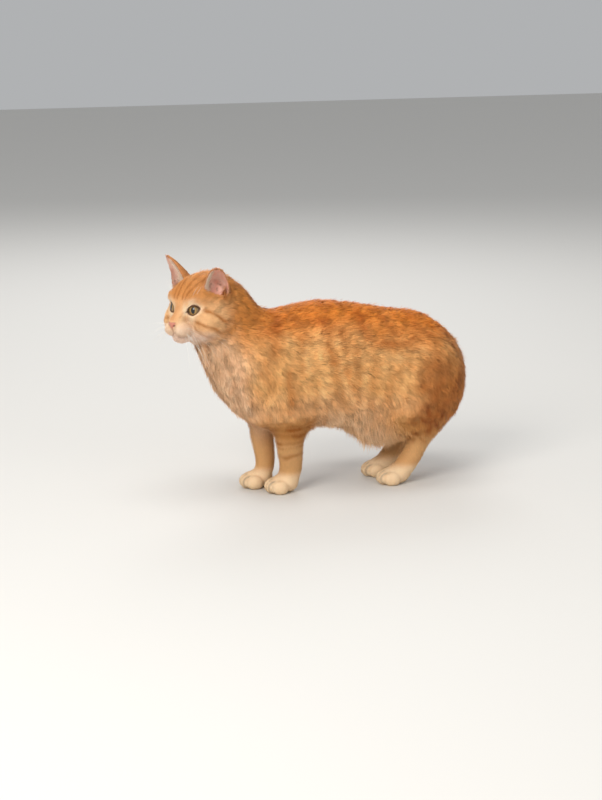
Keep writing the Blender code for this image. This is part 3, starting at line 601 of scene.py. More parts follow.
def balls_mesh(balls, rings):
    """Points and faces of many balls, each given as a centre, three radii and the rows of its axes."""
    ball_points, ball_corners = ball_grid(rings)
    centres = np.array([ball[0] for ball in balls], dtype=float)
    radii = np.array([ball[1] for ball in balls], dtype=float)
    axes = np.array([ball[2] for ball in balls], dtype=float)
    points = np.einsum("bpi,bij->bpj", ball_points[None] * radii[:, None], axes) + centres[:, None]
    faces = ball_corners[None] + (np.arange(len(balls)) * len(ball_points))[:, None, None]
    return points.reshape(-1, 3), faces.reshape(-1, 3)


def ear_balls(side):
    """Small balls set all over an ear's cup, to be fused into its wall."""
    share, turn = (a.ravel() for a in np.meshgrid(np.linspace(0.02, 0.985, 36), np.linspace(-1, 1, 40)))
    places = on_ear(share, ear_spread(share) * turn, ear_radius(share, side), side)
    return [(place, (0.0019,) * 3, np.eye(3)) for place in places]


def rough_skin():
    """Balls along every form, fused by a voxel remesh into one closed surface."""
    level = np.eye(3)
    balls = []
    for x in np.linspace(TRUNK_FRONT + TRUNK_ROUND_FRONT, TRUNK_REAR - TRUNK_ROUND_REAR, 12):
        top, bottom, half = (np.interp(x, TRUNK_TABLE[:, 0], TRUNK_TABLE[:, i]) for i in (1, 2, 3))
        long_end = TRUNK_ROUND_FRONT if x < 0 else TRUNK_ROUND_REAR
        balls.append(((x, 0.0, (top + bottom) / 2), (long_end, half, (top - bottom) / 2), level))
    for forms in REGIONS.values():
        for form in forms or ():
            if form[0] == "tube":
                balls += [(row[:3], (row[3],) * 3, level) for row in tube_rows(form[1])]
            else:
                balls.append((form[1], form[2], HEAD_AXES if form[0] == "turned" else level))
    balls += [(row[:3], (row[3] - 0.003,) * 3, level) for row in TAIL_ROWS]
    points, faces = balls_mesh(balls, 16)
    for side in (1, -1):
        more, more_faces = balls_mesh(ear_balls(side), 5)
        faces = np.vstack((faces, more_faces + len(points)))
        points = np.vstack((points, more))
    skin = new_object("skin", new_mesh("skin", points, faces))
    remesh = skin.modifiers.new("Fuse", "REMESH")
    remesh.mode = "VOXEL"
    remesh.voxel_size = SKIN_CELL
    apply_modifiers(skin)
    return skin


def settle(skin, rounds, most=0.003):
    """Move every vertex along its normal towards the skin's surface, and back where that led away from it."""
    kept = point_array(skin.data)
    kept_value = skin_distance(kept)
    for _ in range(rounds):
        points = kept - normal_array(skin.data) * np.clip(kept_value, -most, most)[:, None]
        value = skin_distance(points)
        better = np.abs(value) < np.abs(kept_value)
        kept[better], kept_value[better] = points[better], value[better]
        skin.data.vertices.foreach_set("co", kept.astype(np.float32).ravel())
        skin.data.update()


def thin_trunk(skin):
    """Collapse triangles where the coat hides the skin, and leave head and feet as they are."""
    points = point_array(skin.data)
    back, left, up = in_head(points).T
    head = (np.abs(left) < 0.055) & (back < 0.085) & (up > -0.040)
    thin = np.nonzero(~head & (points[:, 2] > 0.075))[0]
    group = skin.vertex_groups.new(name="trunk")
    group.add(thin.tolist(), 1.0, "REPLACE")
    reduce = skin.modifiers.new("Reduce", "DECIMATE")
    share = len(thin) / len(points)
    reduce.ratio = 1 - share * (1 - TRUNK_KEPT)
    reduce.vertex_group = "trunk"
    reduce.use_collapse_triangulate = True
    apply_modifiers(skin)
    skin.vertex_groups.clear()


def refine_face(skin):
    """Split every edge round the eyes, the nose and the mouth in two, and the faces with them."""
    shape = bmesh.new()
    shape.from_mesh(skin.data)
    points = point_array(skin.data)
    back, left, up = in_head(points).T
    muzzle = (back < 0.034) & (np.abs(left) < 0.034) & (up > -0.030) & (up < 0.036)
    fine = muzzle.copy()
    for side in (1, -1):
        fine |= np.linalg.norm(points - np.array(head_point(EYE_OPENING, side)), axis=1) < 0.0135
    shape.edges.ensure_lookup_table()
    chosen = [e for e in shape.edges if fine[e.verts[0].index] and fine[e.verts[1].index]]
    bmesh.ops.subdivide_edges(shape, edges=chosen, cuts=1, use_grid_fill=True)
    bmesh.ops.triangulate(shape, faces=[f for f in shape.faces if len(f.verts) > 3])
    shape.to_mesh(skin.data)
    shape.free()


def slide(points, target):
    """Move points to a distance from the skin, by the slope of that distance worked out in small steps."""
    for _ in range(4):
        value = skin_distance(points)
        slope = np.stack([(skin_distance(points + way) - value) / SLOPE_STEP
                          for way in np.eye(3) * SLOPE_STEP], axis=1)
        size = np.maximum((slope ** 2).sum(axis=1), 0.05)
        points = points - ((value - target) / size)[:, None] * slope
    return points


def almond_edge(points, side):
    """Signed distance to the edge of the lids' opening as seen along the eye's axis, and the two places on it."""
    centre, axis, across, up = eye_frame(side)
    away = points - centre
    x = away @ across
    y = away @ up - EYE_SLANT * x / (EYE_WIDTH / 2)
    wide = x / (EYE_WIDTH / 2)
    tall = y / (EYE_HEIGHT / 2 * np.maximum(1 - 0.22 * wide * wide, 0.3))
    reach = np.hypot(wide, tall)
    scale = np.hypot(wide / (EYE_WIDTH / 2), tall / (EYE_HEIGHT / 2)) / np.maximum(reach, 1e-6)
    return (reach - 1) / np.maximum(scale, 1e-6), away @ axis, x, y


def lid_forms(points):
    """Open the lids over each eye and raise their rims, with a crease above the upper lid."""
    for side in (1, -1):
        centre, axis, _, _ = eye_frame(side)
        edge, depth, _, y = almond_edge(points, side)
        front = (depth > 0.002) & (np.linalg.norm(points - centre, axis=1) < 0.022)
        snap = front & (np.abs(edge) < 0.00030)
        away = points - centre
        flat = away - (away @ axis)[:, None] * axis
        outwards = unit(flat)
        points[snap] -= outwards[snap] * edge[snap, None]
        sunk = front & (edge < -0.00030)
        push = smoothstep(-edge, 0.0002, 0.0016) * 0.0042 + 0.0012
        points[sunk] -= axis * push[sunk, None]
        rim = front & (edge > -0.00032)
        reach = np.linalg.norm(points - centre, axis=1)
        hug = (1 - smoothstep(edge, 0.0004, 0.0042)) * rim
        wanted = EYE_RADIUS + 0.0006 + 0.25 * np.maximum(edge, 0.0)
        points = centre + (points - centre) * (1 + hug * (wanted / reach - 1))[:, None]
        swell = 0.00035 * bell(edge - 0.0008, 0.0006)
        crease = -0.00055 * bell(edge - 0.0030, 0.0008) * smoothstep(y, 0.0, 0.006)
        points[rim] += axis * (swell + crease)[rim, None]
    return points


def part_ear_walls(points, normals):
    """Set the inner and the outer face of each ear's wall half its thickness to either side of the cup."""
    for side in (1, -1):
        share, angle, reach, radius, _ = ear_place(points, side)
        away = (points - ear_middle(share, side)) / np.maximum(reach, 1e-6)[:, None]
        faces = (normals * away).sum(axis=1)
        spread = ear_spread(np.clip(share, 0, 1))
        chosen = (share > 0.44) & (share < 0.95) & (np.abs(angle) < 0.92 * spread)
        chosen &= np.abs(reach - radius) < 0.003
        half = np.where(faces > 0, EAR_PARTED, -EAR_PARTED) * (np.abs(faces) > 0.15)
        move = np.where(half != 0, radius + half - reach, 0.0) * chosen
        points = points + away * move[:, None]
    return points


def line_distance(points, path):
    """Distance to a line through the rows of a path."""
    return tube_distance(points, np.hstack((path, np.zeros((len(path), 1)))))


def on_skin(places, side):
    """Places of the head, moved onto the skin."""
    points = np.array([head_point(place, side) for place in places])
    return slide(points, 0.0)


def face_grooves(points, lines):
    """Press the lines of the mouth, the cleft under the nose and the nostrils into the skin."""
    near = in_head(points)[:, 0] < 0.040
    part = points[near]
    inward = np.array(-HEAD_FORWARD)
    mouth = line_distance(part, lines["mouth"])
    cleft = line_distance(part, lines["philtrum"])
    back, left, up = in_head(part).T
    shallow = 1 - 0.6 * smoothstep(np.abs(left), 0.006, 0.015)
    part += inward * (0.0008 * shallow * bell(mouth, 0.0008) + 0.0006 * bell(cleft, 0.0006))[:, None]
    for side in (1, -1):
        across = (left * side - NOSTRIL[1]) / 0.0018
        rise = (up - NOSTRIL[2] - 0.5 * (left * side - NOSTRIL[1])) / 0.0011
        part += inward * (0.0016 * bell(np.hypot(across, rise), 1) * (back < 0.012))[:, None]
    points[near] = part
    return points


# ---------------------------------------------------------------- the coat's regions and markings

def linear(code):
    """A six-figure sRGB hex value as linear light."""
    value = np.array([int(code[i:i + 2], 16) for i in (1, 3, 5)]) / 255
    return np.where(value <= 0.04045, value / 12.92, ((value + 0.055) / 1.055) ** 2.4)


BACK = linear("#D7802B")
FLANK = linear("#E6AD6B")
LOW_FLANK = linear("#E2AB74")
# Darker brown of the rump and the backs of the thighs: painted shade of the rear, which lies away from the key
# light
SHADED_RUMP = linear("#B8702F")
CHEST = linear("#E1B68E")
FRINGE = linear("#DFB68C")
UPPER_LEG = linear("#CF9350")
LOWER_LEG = linear("#E0AD72")
PAW = linear("#FFE0B8")
FOREHEAD = linear("#DA9653")
CHEEK_FUR = linear("#F5C28A")
PALE_FACE = linear("#FFE6C6")
MUZZLE_FUR = linear("#F3D3B6")
CHIN_FUR = linear("#EFD0BC")
NAPE_FUR = linear("#CB8239")
EAR_BACK = linear("#C98850")
EAR_PINK = linear("#E8A48F")
EAR_DARK = linear("#7A5344")
NOSE_LEATHER = linear("#CC8571")
LIP = linear("#A87060")
LID_EDGE = linear("#5A3824")
STRIPE = np.array((0.66, 0.46, 0.28))

# Broken stripes of the flanks, each as two places on the side view (x, z), half width and strength
FLANK_MARKS = (
    (0.045, 0.243, 0.049, 0.218, 0.0065, 1.30),
    (0.058, 0.206, 0.116, 0.201, 0.0055, 0.85),
    (0.104, 0.204, 0.124, 0.211, 0.0040, 1.01),
    (-0.008, 0.240, -0.001, 0.188, 0.0050, 1.09),
    (-0.002, 0.186, 0.007, 0.146, 0.0045, 0.80),
    (0.018, 0.225, 0.021, 0.158, 0.0048, 1.01),
    (0.035, 0.206, 0.030, 0.148, 0.0045, 0.94),
    (0.062, 0.192, 0.052, 0.150, 0.0045, 0.65),
    (-0.040, 0.232, -0.046, 0.178, 0.0060, 0.65),
    (-0.074, 0.243, -0.090, 0.205, 0.0080, 0.87),
    (-0.090, 0.203, -0.104, 0.178, 0.0065, 0.65),
    (-0.064, 0.180, -0.062, 0.134, 0.0060, 1.01),
    (0.119, 0.196, 0.089, 0.166, 0.0048, 0.72),
    (0.140, 0.183, 0.119, 0.152, 0.0048, 0.80),
    (0.170, 0.180, 0.140, 0.124, 0.0055, 0.87),
    (0.190, 0.166, 0.168, 0.118, 0.0055, 0.72),
    (0.134, 0.122, 0.110, 0.098, 0.0045, 0.80),
    (0.150, 0.102, 0.140, 0.082, 0.0045, 0.80),
    (0.080, 0.240, 0.096, 0.216, 0.0055, 0.72),
    (0.124, 0.234, 0.146, 0.208, 0.0055, 0.65),
    (0.166, 0.224, 0.186, 0.196, 0.0055, 0.65),
    (0.152, 0.186, 0.128, 0.150, 0.0110, 0.95),
    (0.136, 0.120, 0.141, 0.104, 0.0062, 1.10),
    (0.130, 0.100, 0.139, 0.094, 0.0048, 1.10),
    (0.112, 0.099, 0.121, 0.094, 0.0036, 0.90),
    (0.153, 0.114, 0.161, 0.100, 0.0052, 0.90),
    (0.150, 0.096, 0.158, 0.086, 0.0042, 0.80),
    (0.121, 0.077, 0.131, 0.073, 0.0028, 0.80),
    (0.119, 0.067, 0.127, 0.064, 0.0026, 0.75),
    (0.134, 0.066, 0.142, 0.063, 0.0028, 0.65),
)
# Pale streaks between the stripes, given the same way
PALE_MARKS = (
    (-0.041, 0.228, -0.037, 0.160, 0.0055, 0.9),
    (-0.020, 0.205, -0.014, 0.140, 0.0050, 0.8),
    (0.010, 0.215, 0.014, 0.150, 0.0045, 0.7),
    (0.028, 0.192, 0.032, 0.160, 0.0050, 0.9),
    (0.045, 0.200, 0.043, 0.150, 0.0045, 0.7),
    (0.078, 0.190, 0.128, 0.194, 0.0075, 1.0),
    (0.075, 0.175, 0.068, 0.140, 0.0050, 0.7),
    (0.105, 0.170, 0.098, 0.140, 0.0050, 0.7),
    (-0.060, 0.215, -0.070, 0.190, 0.0055, 0.7),
    (-0.078, 0.170, -0.080, 0.140, 0.0055, 0.6),
    (-0.118, 0.200, -0.112, 0.170, 0.0055, 0.6),
)
# Lines of the head, each as places behind the nose, left and above, with half width and strength
HEAD_MARKS = (
    (((0.024, 0.0035, 0.030), (0.036, 0.0050, 0.047), (0.056, 0.0070, 0.061)), 0.0017, 0.85),
    (((0.022, 0.0105, 0.032), (0.034, 0.0125, 0.046), (0.052, 0.0160, 0.058)), 0.0016, 0.75),
    (((0.028, 0.0190, 0.037), (0.040, 0.0210, 0.047), (0.054, 0.0240, 0.054)), 0.0016, 0.45),
    (((0.033, 0.0290, 0.0185), (0.042, 0.0350, 0.0105), (0.053, 0.0400, 0.0030), (0.066, 0.0430, 0.0030)),
     0.0023, 1.45),
    (((0.030, 0.0270, 0.0020), (0.040, 0.0350, -0.0040), (0.052, 0.0400, -0.0110), (0.064, 0.0400, -0.0100)),
     0.0021, 1.15),
    (((0.026, 0.0240, -0.0020), (0.036, 0.0310, -0.0090), (0.048, 0.0340, -0.0190)), 0.0018, 0.60),
    (((0.013, 0.0100, 0.0165), (0.0085, 0.0075, 0.0105)), 0.0014, 0.45),
)
# Bars across the forelegs: height, half width and strength
LEG_BARS = ((0.1120, 0.0026, 1.0), (0.1045, 0.0026, 1.0), (0.0965, 0.0030, 1.3), (0.0870, 0.0040, 1.1),
            (0.0755, 0.0026, 1.1), (0.0680, 0.0022, 0.6), (0.0550, 0.0028, 0.9))
MARK_PATHS = []


def head_mark_paths():
    """The lines of the head as smooth paths on the skin, in head places, worked out once."""
    if not MARK_PATHS:
        for places, half, amount in HEAD_MARKS:
            MARK_PATHS.append((in_head(on_skin(smooth_path(places, 9), 1)), half, amount))
    return MARK_PATHS


def strokes(side_view, marks):
    """The strongest of the strokes at every place of the side view."""
    result = np.zeros(len(side_view))
    for x0, z0, x1, z1, half, strength in marks:
        near = line_distance(side_view, np.array(((x0, 0, z0), (x1, 0, z1))))
        result = np.maximum(result, strength * bell(near, half))
    return result


def wandering(points):
    """Places of the side view, bent a little, on the far side a few millimetres further back."""
    x, y, z = points.T
    bend = np.stack((lattice_noise(points, 0.016, 3), np.zeros_like(x), lattice_noise(points, 0.016, 4)), axis=1)
    return np.stack((x + np.where(y > 0, 0.006, 0.0), np.zeros_like(x), z), axis=1) + 0.0040 * bend


def mark_strength(points, weights):
    """How dark the coat's stripes are at every point, from 0 to about 1."""
    x, y, z = points.T
    broken = 0.65 + 0.35 * smoothstep(lattice_noise(points, 0.011, 5), -0.5, 0.5)
    flank = strokes(wandering(points), FLANK_MARKS)
    band = np.sin(2 * math.pi * (x + 0.10 * (z - 0.17) + 0.009 * lattice_noise(points, 0.035, 6)) / 0.0245)
    faint = 0.42 * smoothstep(band, 0.2, 1.0) * smoothstep(lattice_noise(points, 0.020, 7), -0.35, 0.45)
    body = np.maximum(flank * broken, faint) * (1 - smoothstep(-z, -0.135, -0.105) * (x < 0.10))
    strength = body * (weights["trunk"] + weights["thigh"] + 0.6 * weights["neck"]) + flank * weights["hind"]
    head = np.zeros(len(points))
    local = in_head(points)
    local[:, 1] = np.abs(local[:, 1])
    local += 0.0010 * np.stack([lattice_noise(points, 0.007, s) for s in (8, 9, 10)], axis=1)
    for path, half, amount in head_mark_paths():
        near = line_distance(local, path)
        head = np.maximum(head, amount * bell(near, half))
    strength += head * weights["head"]
    bars = np.zeros(len(points))
    for height, half, amount in LEG_BARS:
        level = z - height - 0.10 * (x + 0.052) + 0.0022 * lattice_noise(points, 0.012, 11)
        bars = np.maximum(bars, amount * bell(level, half))
    bars *= 0.40 + 0.60 * smoothstep(lattice_noise(points, 0.010, 12), -0.4, 0.5)
    bars *= 1 - (y > 0) * smoothstep(-z, -0.100, -0.085)
    strength += bars * np.clip(weights["foreleg"] + 0.8 * weights["trunk"] * (x < 0) * (z < 0.115), 0, 1)
    spots = smoothstep(lattice_noise(points, 0.008, 13), 0.25, 0.6) * smoothstep(z, 0.050, 0.075)
    strength += 0.40 * spots * weights["hind"] * (1 - smoothstep(z, 0.11, 0.13))
    rings = smoothstep(np.sin(2 * math.pi * weights["tail_share"] * 9), -0.1, 0.7)
    strength += 0.65 * rings * weights["tail"]
    return strength


def mix(first, second, share):
    """Rows of colour passed from the first to the second by a share."""
    return first + (second - first) * share[:, None]


def fur_colour(points, normals, weights):
    """Linear colour of the coat: cream below and on the feet, orange above, with the tabby's stripes over it."""
    x, y, z = points.T
    rise = z - np.interp(x, TRUNK_TABLE[:, 0], (TRUNK_TABLE[:, 1] + TRUNK_TABLE[:, 2]) / 2)
    cloud = lattice_noise(points, 0.022, 1)
    trunk = mix(LOW_FLANK, FLANK, smoothstep(rise + 0.010 * cloud, -0.055, -0.015))
    trunk = mix(trunk, BACK, smoothstep(rise + 0.012 * cloud, 0.022, 0.076))
    under = smoothstep(-normals[:, 2], 0.25, 0.75) * smoothstep(-rise, 0.030, 0.065)
    trunk = mix(trunk, FRINGE, np.maximum(under, smoothstep(-z, -0.100, -0.075)))
    # Rump and the backs of the thighs darkened towards the rump's shaded brown: painted shade
    rear = np.maximum(0.75 * smoothstep(x, 0.150, 0.205) * smoothstep(-z, -0.235, -0.205),
                      0.90 * smoothstep(x, 0.105, 0.150) * smoothstep(-z + 0.010 * cloud, -0.200, -0.150))
    trunk = mix(trunk, SHADED_RUMP, rear)
    front = smoothstep(-normals[:, 0] - 0.35 * normals[:, 2], 0.30, 0.75) * smoothstep(-x, 0.080, 0.115)
    chest = np.clip(front + smoothstep(-normals[:, 2], 0.5, 0.9) * smoothstep(-x, 0.02, 0.08), 0, 1)
    trunk = mix(trunk, CHEST, chest * smoothstep(-z, -0.262, -0.235))
    neck = mix(NAPE_FUR, FLANK, smoothstep(-z, -0.245, -0.215) * 0.6)
    throat = smoothstep(-normals[:, 0] * 0.8 - normals[:, 2] * 0.9 - 0.3 * normals[:, 1], 0.05, 0.65)
    neck = mix(neck, CHEST, throat * smoothstep(-z, -0.285, -0.250))
    fore = mix(LOWER_LEG, UPPER_LEG, smoothstep(z + 0.006 * cloud, 0.060, 0.088))
    fore = mix(fore, FLANK, smoothstep(z, 0.105, 0.140))
    inside = smoothstep(-np.abs(y), -0.030, -0.010) * smoothstep(z, 0.05, 0.09)
    fore = mix(fore, CHEST, inside * 0.8)
    hind = mix(LOWER_LEG, UPPER_LEG, smoothstep(z + 0.006 * cloud, 0.055, 0.085))
    hind = mix(hind, FLANK, smoothstep(z, 0.115, 0.150) * 0.7)
    # The backs of the hind legs are darkened the same way: painted shade
    hind = mix(hind, SHADED_RUMP, 0.75 * smoothstep(x, 0.100, 0.150) * smoothstep(z + 0.006 * cloud, 0.070, 0.100))
    legs = mix(fore, hind, smoothstep(x, 0.02, 0.05))
    legs = mix(legs, PAW, smoothstep(-z, -0.034, -0.020))
    tail = mix(BACK, FLANK, smoothstep(-normals[:, 2], -0.2, 0.6))
    head = face_colour(points)
    leg_share = np.clip(weights["foreleg"] + weights["hind"], 0, 1)
    total = weights["trunk"] + weights["thigh"] + weights["neck"] + leg_share + weights["head"] + weights["tail"]
    colour = (trunk * (weights["trunk"] + weights["thigh"])[:, None] + neck * weights["neck"][:, None]
              + legs * leg_share[:, None] + head * weights["head"][:, None] + tail * weights["tail"][:, None])
    colour /= np.maximum(total, 1e-6)[:, None]
    drawn = points * np.array((1.0, 1.0, 0.55))
    patch = lattice_noise(drawn, 0.009, 17) + 0.7 * lattice_noise(drawn, 0.0045, 18)
    body = weights["trunk"] + weights["thigh"] + 0.7 * weights["neck"] + 0.3 * weights["head"]
    colour = colour * (1 + np.array((0.15, 0.22, 0.32)) * (smoothstep(patch, 0.0, 0.9) * body)[:, None])
    colour = colour * (1 - np.array((0.08, 0.13, 0.20)) * (smoothstep(-patch, 0.0, 0.8) * body)[:, None])
    streak = strokes(wandering(points), PALE_MARKS) * (weights["trunk"] + weights["thigh"])
    colour = colour * (1 + np.array((0.12, 0.22, 0.36)) * streak[:, None])
    stripe = np.clip(mark_strength(points, weights), 0, 1.45)
    colour = colour * (1 + (STRIPE - 1) * stripe[:, None])
    ear = weights["ear"][:, None]
    return colour * (1 - ear) + EAR_BACK * ear


def face_colour(points):
    """Linear colour of the face: orange brow and cheeks, pale rings round the eyes, cream muzzle and chin."""
    back, left, up = in_head(points).T
    colour = mix(CHEEK_FUR, FOREHEAD, smoothstep(up, 0.022, 0.040))
    low = smoothstep(-up, 0.002, 0.018)
    colour = mix(colour, CHIN_FUR, low * smoothstep(-back, -0.062, -0.020))
    muzzle = bell(back - 0.012, 0.016) * bell(np.abs(left) - 0.011, 0.012) * bell(up + 0.007, 0.0085)
    colour = mix(colour, MUZZLE_FUR, np.clip(1.5 * muzzle, 0, 1))
    bridge = bell(left, 0.0050) * smoothstep(up, 0.003, 0.008) * smoothstep(-up, -0.034, -0.022)
    colour = mix(colour, linear("#D69A66"), bridge * 0.8)
    for side in (1, -1):
        edge, depth, x, y = almond_edge(points, side)
        near = (depth > 0)
        ring = bell(edge - 0.0024, 0.0028) * near
        colour = mix(colour, PALE_FACE, np.clip(ring * 0.62, 0, 1))
        inner = bell(x + 0.0125, 0.0030) * bell(y - 0.0020, 0.0090) * near
        colour = mix(colour, PALE_FACE, np.clip(0.75 * inner, 0, 1))
        below = bell(x + 0.004, 0.008) * bell(y + 0.0125, 0.0045) * near
        above = bell(x + 0.003, 0.006) * bell(y - 0.0125, 0.0030) * near
        colour = mix(colour, PALE_FACE, np.clip(0.75 * below + 0.55 * above, 0, 1))
    return colour


def bare_colour(points, colour, lines, ear_inner):
    """Colour and bareness of what has no fur: the nose leather, lips, lid edges and the cups of the ears, with
    painted shade in the nostrils and in the clefts between the toes.
    """
    back, left, up = in_head(points).T
    half = 0.0070 * np.clip((up + 0.0060) / 0.0085, 0.0, 1.0) ** 0.75
    leather = smoothstep(half - np.abs(left), 0.0, 0.0010)
    leather *= smoothstep(0.0046 + 0.010 * np.abs(left) - up, 0.0, 0.0012)
    leather *= (back < 0.0125) & (up > -0.0075)
    colour = mix(colour, NOSE_LEATHER, leather)
    bare = leather.copy()
    face = back < 0.040
    mouth = np.full(len(points), 1.0)
    mouth[face] = np.minimum(line_distance(points[face], lines["mouth"]),
                             line_distance(points[face], lines["philtrum"]))
    lip = bell(mouth, 0.0009) * (1 - 0.8 * smoothstep(np.abs(left), 0.006, 0.014))
    colour = mix(colour, LIP, lip * 0.6)
    bare = np.maximum(bare, lip)
    across = np.abs(left) - NOSTRIL[1]
    # Nostrils painted dark brown: painted shade inside their hollows
    nostril_shade = bell(across, 0.0017) * bell(up - NOSTRIL[2] - 0.5 * across, 0.0010) * (back < 0.012)
    colour = mix(colour, linear("#5A2E26"), np.clip(nostril_shade * 1.1, 0, 1))
    for side in (1, -1):
        edge, depth, x, y = almond_edge(points, side)
        thick = 0.00030 + 0.00035 * smoothstep(y, -0.002, 0.004)
        rim = (depth > 0.002) * (1 - smoothstep(edge, thick, thick + 0.0006))
        corner = (depth > 0.002) * bell(x + 0.0100, 0.0014) * bell(y + 0.0010, 0.0012)
        rim = np.clip(rim + corner, 0, 1)
        colour = mix(colour, LID_EDGE, rim)
        bare = np.maximum(bare, rim)
        share, _, reach, _, _ = ear_place(points, side)
        deep = ear_inner * smoothstep(-share, -0.52, -0.30) * (np.abs(share - 0.3) < 0.5)
        spots = smoothstep(lattice_noise(points, 0.0024, 15), 0.30, 0.60) * deep
        pink = mix(EAR_PINK, linear("#EBC4B2"),
                   0.5 + 0.5 * lattice_noise(points, 0.006, 14))
        here = ear_inner * (reach < 0.032) * (share > -0.1)
        colour = mix(colour, pink, here)
        colour = mix(colour, EAR_DARK, np.clip(spots * 0.7, 0, 1) * here)
    bare = np.maximum(bare, ear_inner)
    # Clefts between the toes darkened: painted shade in the creases
    cleft_shade = toe_cleft_shade(points)
    return colour * (1 - 0.45 * cleft_shade)[:, None], bare


def toe_cleft_shade(points):
    """Painted shade in the clefts between the toes: how near every point is to those clefts."""
    x, y, z = points.T
    result = np.zeros(len(points))
    for px, py in (*FORE_PAWS.values(), *HIND_PAWS.values()):
        front = smoothstep(px - 0.008 - x, 0.0, 0.006) * (np.abs(y - py) < 0.024) * (np.abs(x - px) < 0.035)
        for across in TOE_CLEFTS:
            result = np.maximum(result, front * bell(y - py - across, 0.0011) * (z < 0.020))
    return result


def region_weights(points, normals):
    """Share of each region at every point, by how near it is, with the tail's own length and the ears."""
    parts = region_distances(points)
    tail = tube_distance(points, TAIL_ROWS - np.array((0, 0, 0, 0.0045)))
    forelegs = np.minimum(parts["foreleg_left"], parts["foreleg_right"])
    hinds = np.minimum(parts["hind_left"], parts["hind_right"])
    rows = {"trunk": parts["trunk"], "neck": parts["neck"], "head": parts["head"],
            "foreleg": forelegs, "hind": hinds, "tail": tail + 0.0035}
    sharp = {name: np.exp(-np.clip(value, -0.02, 0.10) / 0.0045) for name, value in rows.items()}
    total = sum(sharp.values())
    weights = {name: value / total for name, value in sharp.items()}
    high = smoothstep(points[:, 2], 0.100, 0.135)
    weights["thigh"] = (weights["hind"] + weights["foreleg"]) * high
    weights["hind"] = weights["hind"] * (1 - high)
    weights["foreleg"] = weights["foreleg"] * (1 - high)
    places = TAIL_ROWS[::2, :3]
    nearest = np.argmin(np.linalg.norm(points[:, None] - places, axis=2), axis=1)
    weights["tail_share"] = nearest / len(places)
    ear = np.zeros(len(points))
    inner = np.zeros(len(points))
    for side in (1, -1):
        share, _, reach, radius, _ = ear_place(points, side)
        wall = np.maximum(ear_distance(points, side), -0.001)
        here = smoothstep(-wall, -0.0060, -0.0005) * smoothstep(share, 0.16, 0.34)
        radial = unit(points - ear_middle(share, side))
        inside = smoothstep(-(normals * radial).sum(axis=1), -0.05, 0.30) * (reach < radius + 0.0004)
        scoop, to_middle = ear_hollow(points, side)
        faces_it = smoothstep((normals * to_middle).sum(axis=1), 0.0, 0.004)
        hollow = (1 - smoothstep(scoop, 0.0006, 0.0020)) * (share > -0.05) * (reach < 0.03) * faces_it
        inside = np.maximum(inside * here, hollow)
        ear = np.maximum(ear, here)
        inner = np.maximum(inner, inside)
    weights["ear"] = ear
    weights["ear_inner"] = inner
    return weights


def level_way(back, rise):
    """Rows that lead back and up by such amounts, and to neither side."""
    return np.stack((back, np.zeros(len(back)), rise), axis=1)


def coat_lie(points, normals, weights):
    """Direction of the hair: away from the nose on the head, back and down on the body, down the legs."""
    x, _, z = points.T
    head = points - np.array(head_point((-0.004, 0.0, 0.004)))
    head[:, 2] -= 0.015 * smoothstep(np.linalg.norm(head, axis=1), 0.03, 0.07)
    rise = np.clip((z - 0.17) / 0.09, -1, 1)
    down = smoothstep(-rise, -0.9, 0.8)
    trunk = level_way(1 - 0.45 * down, -0.12 - 0.80 * down)
    rear = smoothstep(x, 0.15, 0.22)
    trunk += level_way(-0.5 * rear, -0.9 * rear)
    trunk[:, 2] += lattice_noise(points, 0.045, 21) * 0.35
    front = smoothstep(-normals[:, 0], 0.1, 0.7)
    neck = level_way(0.85 - 0.55 * front, -0.45 - 0.55 * front)
    toes = smoothstep(-z, -0.030, -0.018)
    leg = np.array((0.12, 0.0, -1.0)) + level_way(-1.3 * toes, 0.55 * toes)
    thigh = np.array((0.42, 0.0, -0.90))
    tangent = np.gradient(TAIL_ROWS[:, :3], axis=0)
    tail = tangent[tail_row(weights["tail_share"])]
    ear = np.zeros_like(points)
    for side in (1, -1):
        base, tip, axis, facing, _ = ear_frame(side)
        near = np.linalg.norm(points - (base + tip) / 2, axis=1) < 0.05
        ear[near] = axis - 0.25 * facing
    parts = {"head": head, "trunk": trunk, "neck": neck, "foreleg": leg, "hind": leg, "thigh": thigh, "tail": tail}
    lie = np.zeros_like(points)
    for name, part in parts.items():
        lie += unit(part) * weights[name][:, None]
    lie = lie * (1 - weights["ear"])[:, None] + ear * weights["ear"][:, None]
    return unit(flattened(lie, normals))


def coat_measure(points, normals, weights, bare):
    """Length, width, rise and density of the tufts at every point, as one row each."""
    z = points[:, 2]
    from_face = face_reach(points)
    head = 0.0020 + 0.0042 * smoothstep(from_face, 0.25, 0.85) + 0.0070 * smoothstep(from_face, 0.85, 1.45)
    leg = 0.0034 + 0.0030 * smoothstep(z, 0.025, 0.060) + 0.0026 * smoothstep(z, 0.060, 0.110)
    length = (head * weights["head"] + leg * (weights["foreleg"] + weights["hind"])
              + 0.0145 * (weights["trunk"] + weights["thigh"]) + 0.0140 * weights["neck"]
              + 0.0135 * weights["tail"])
    under = smoothstep(-normals[:, 2], 0.2, 0.8) * (weights["trunk"] + weights["thigh"])
    length += 0.0040 * under
    length *= 1 - 0.45 * smoothstep(-z, -0.128, -0.104) * (points[:, 0] < -0.015)
    for side in (1, -1):
        close = bell(np.maximum(ear_distance(points, side), 0), 0.009)
        length *= 1 - 0.55 * close
    length = length * (1 - weights["ear"]) + 0.0036 * weights["ear"]
    width = 0.00019 + 0.031 * length
    rise = coat_depth(points)
    rise = rise * (1 - weights["ear"]) + 0.0006 * weights["ear"]
    rise = rise * (1 - weights["tail"]) + 0.0044 * weights["tail"]
    density = (1 - bare) / (length * width) / 1e5
    return length, width, rise, density


# ---------------------------------------------------------------- tufts

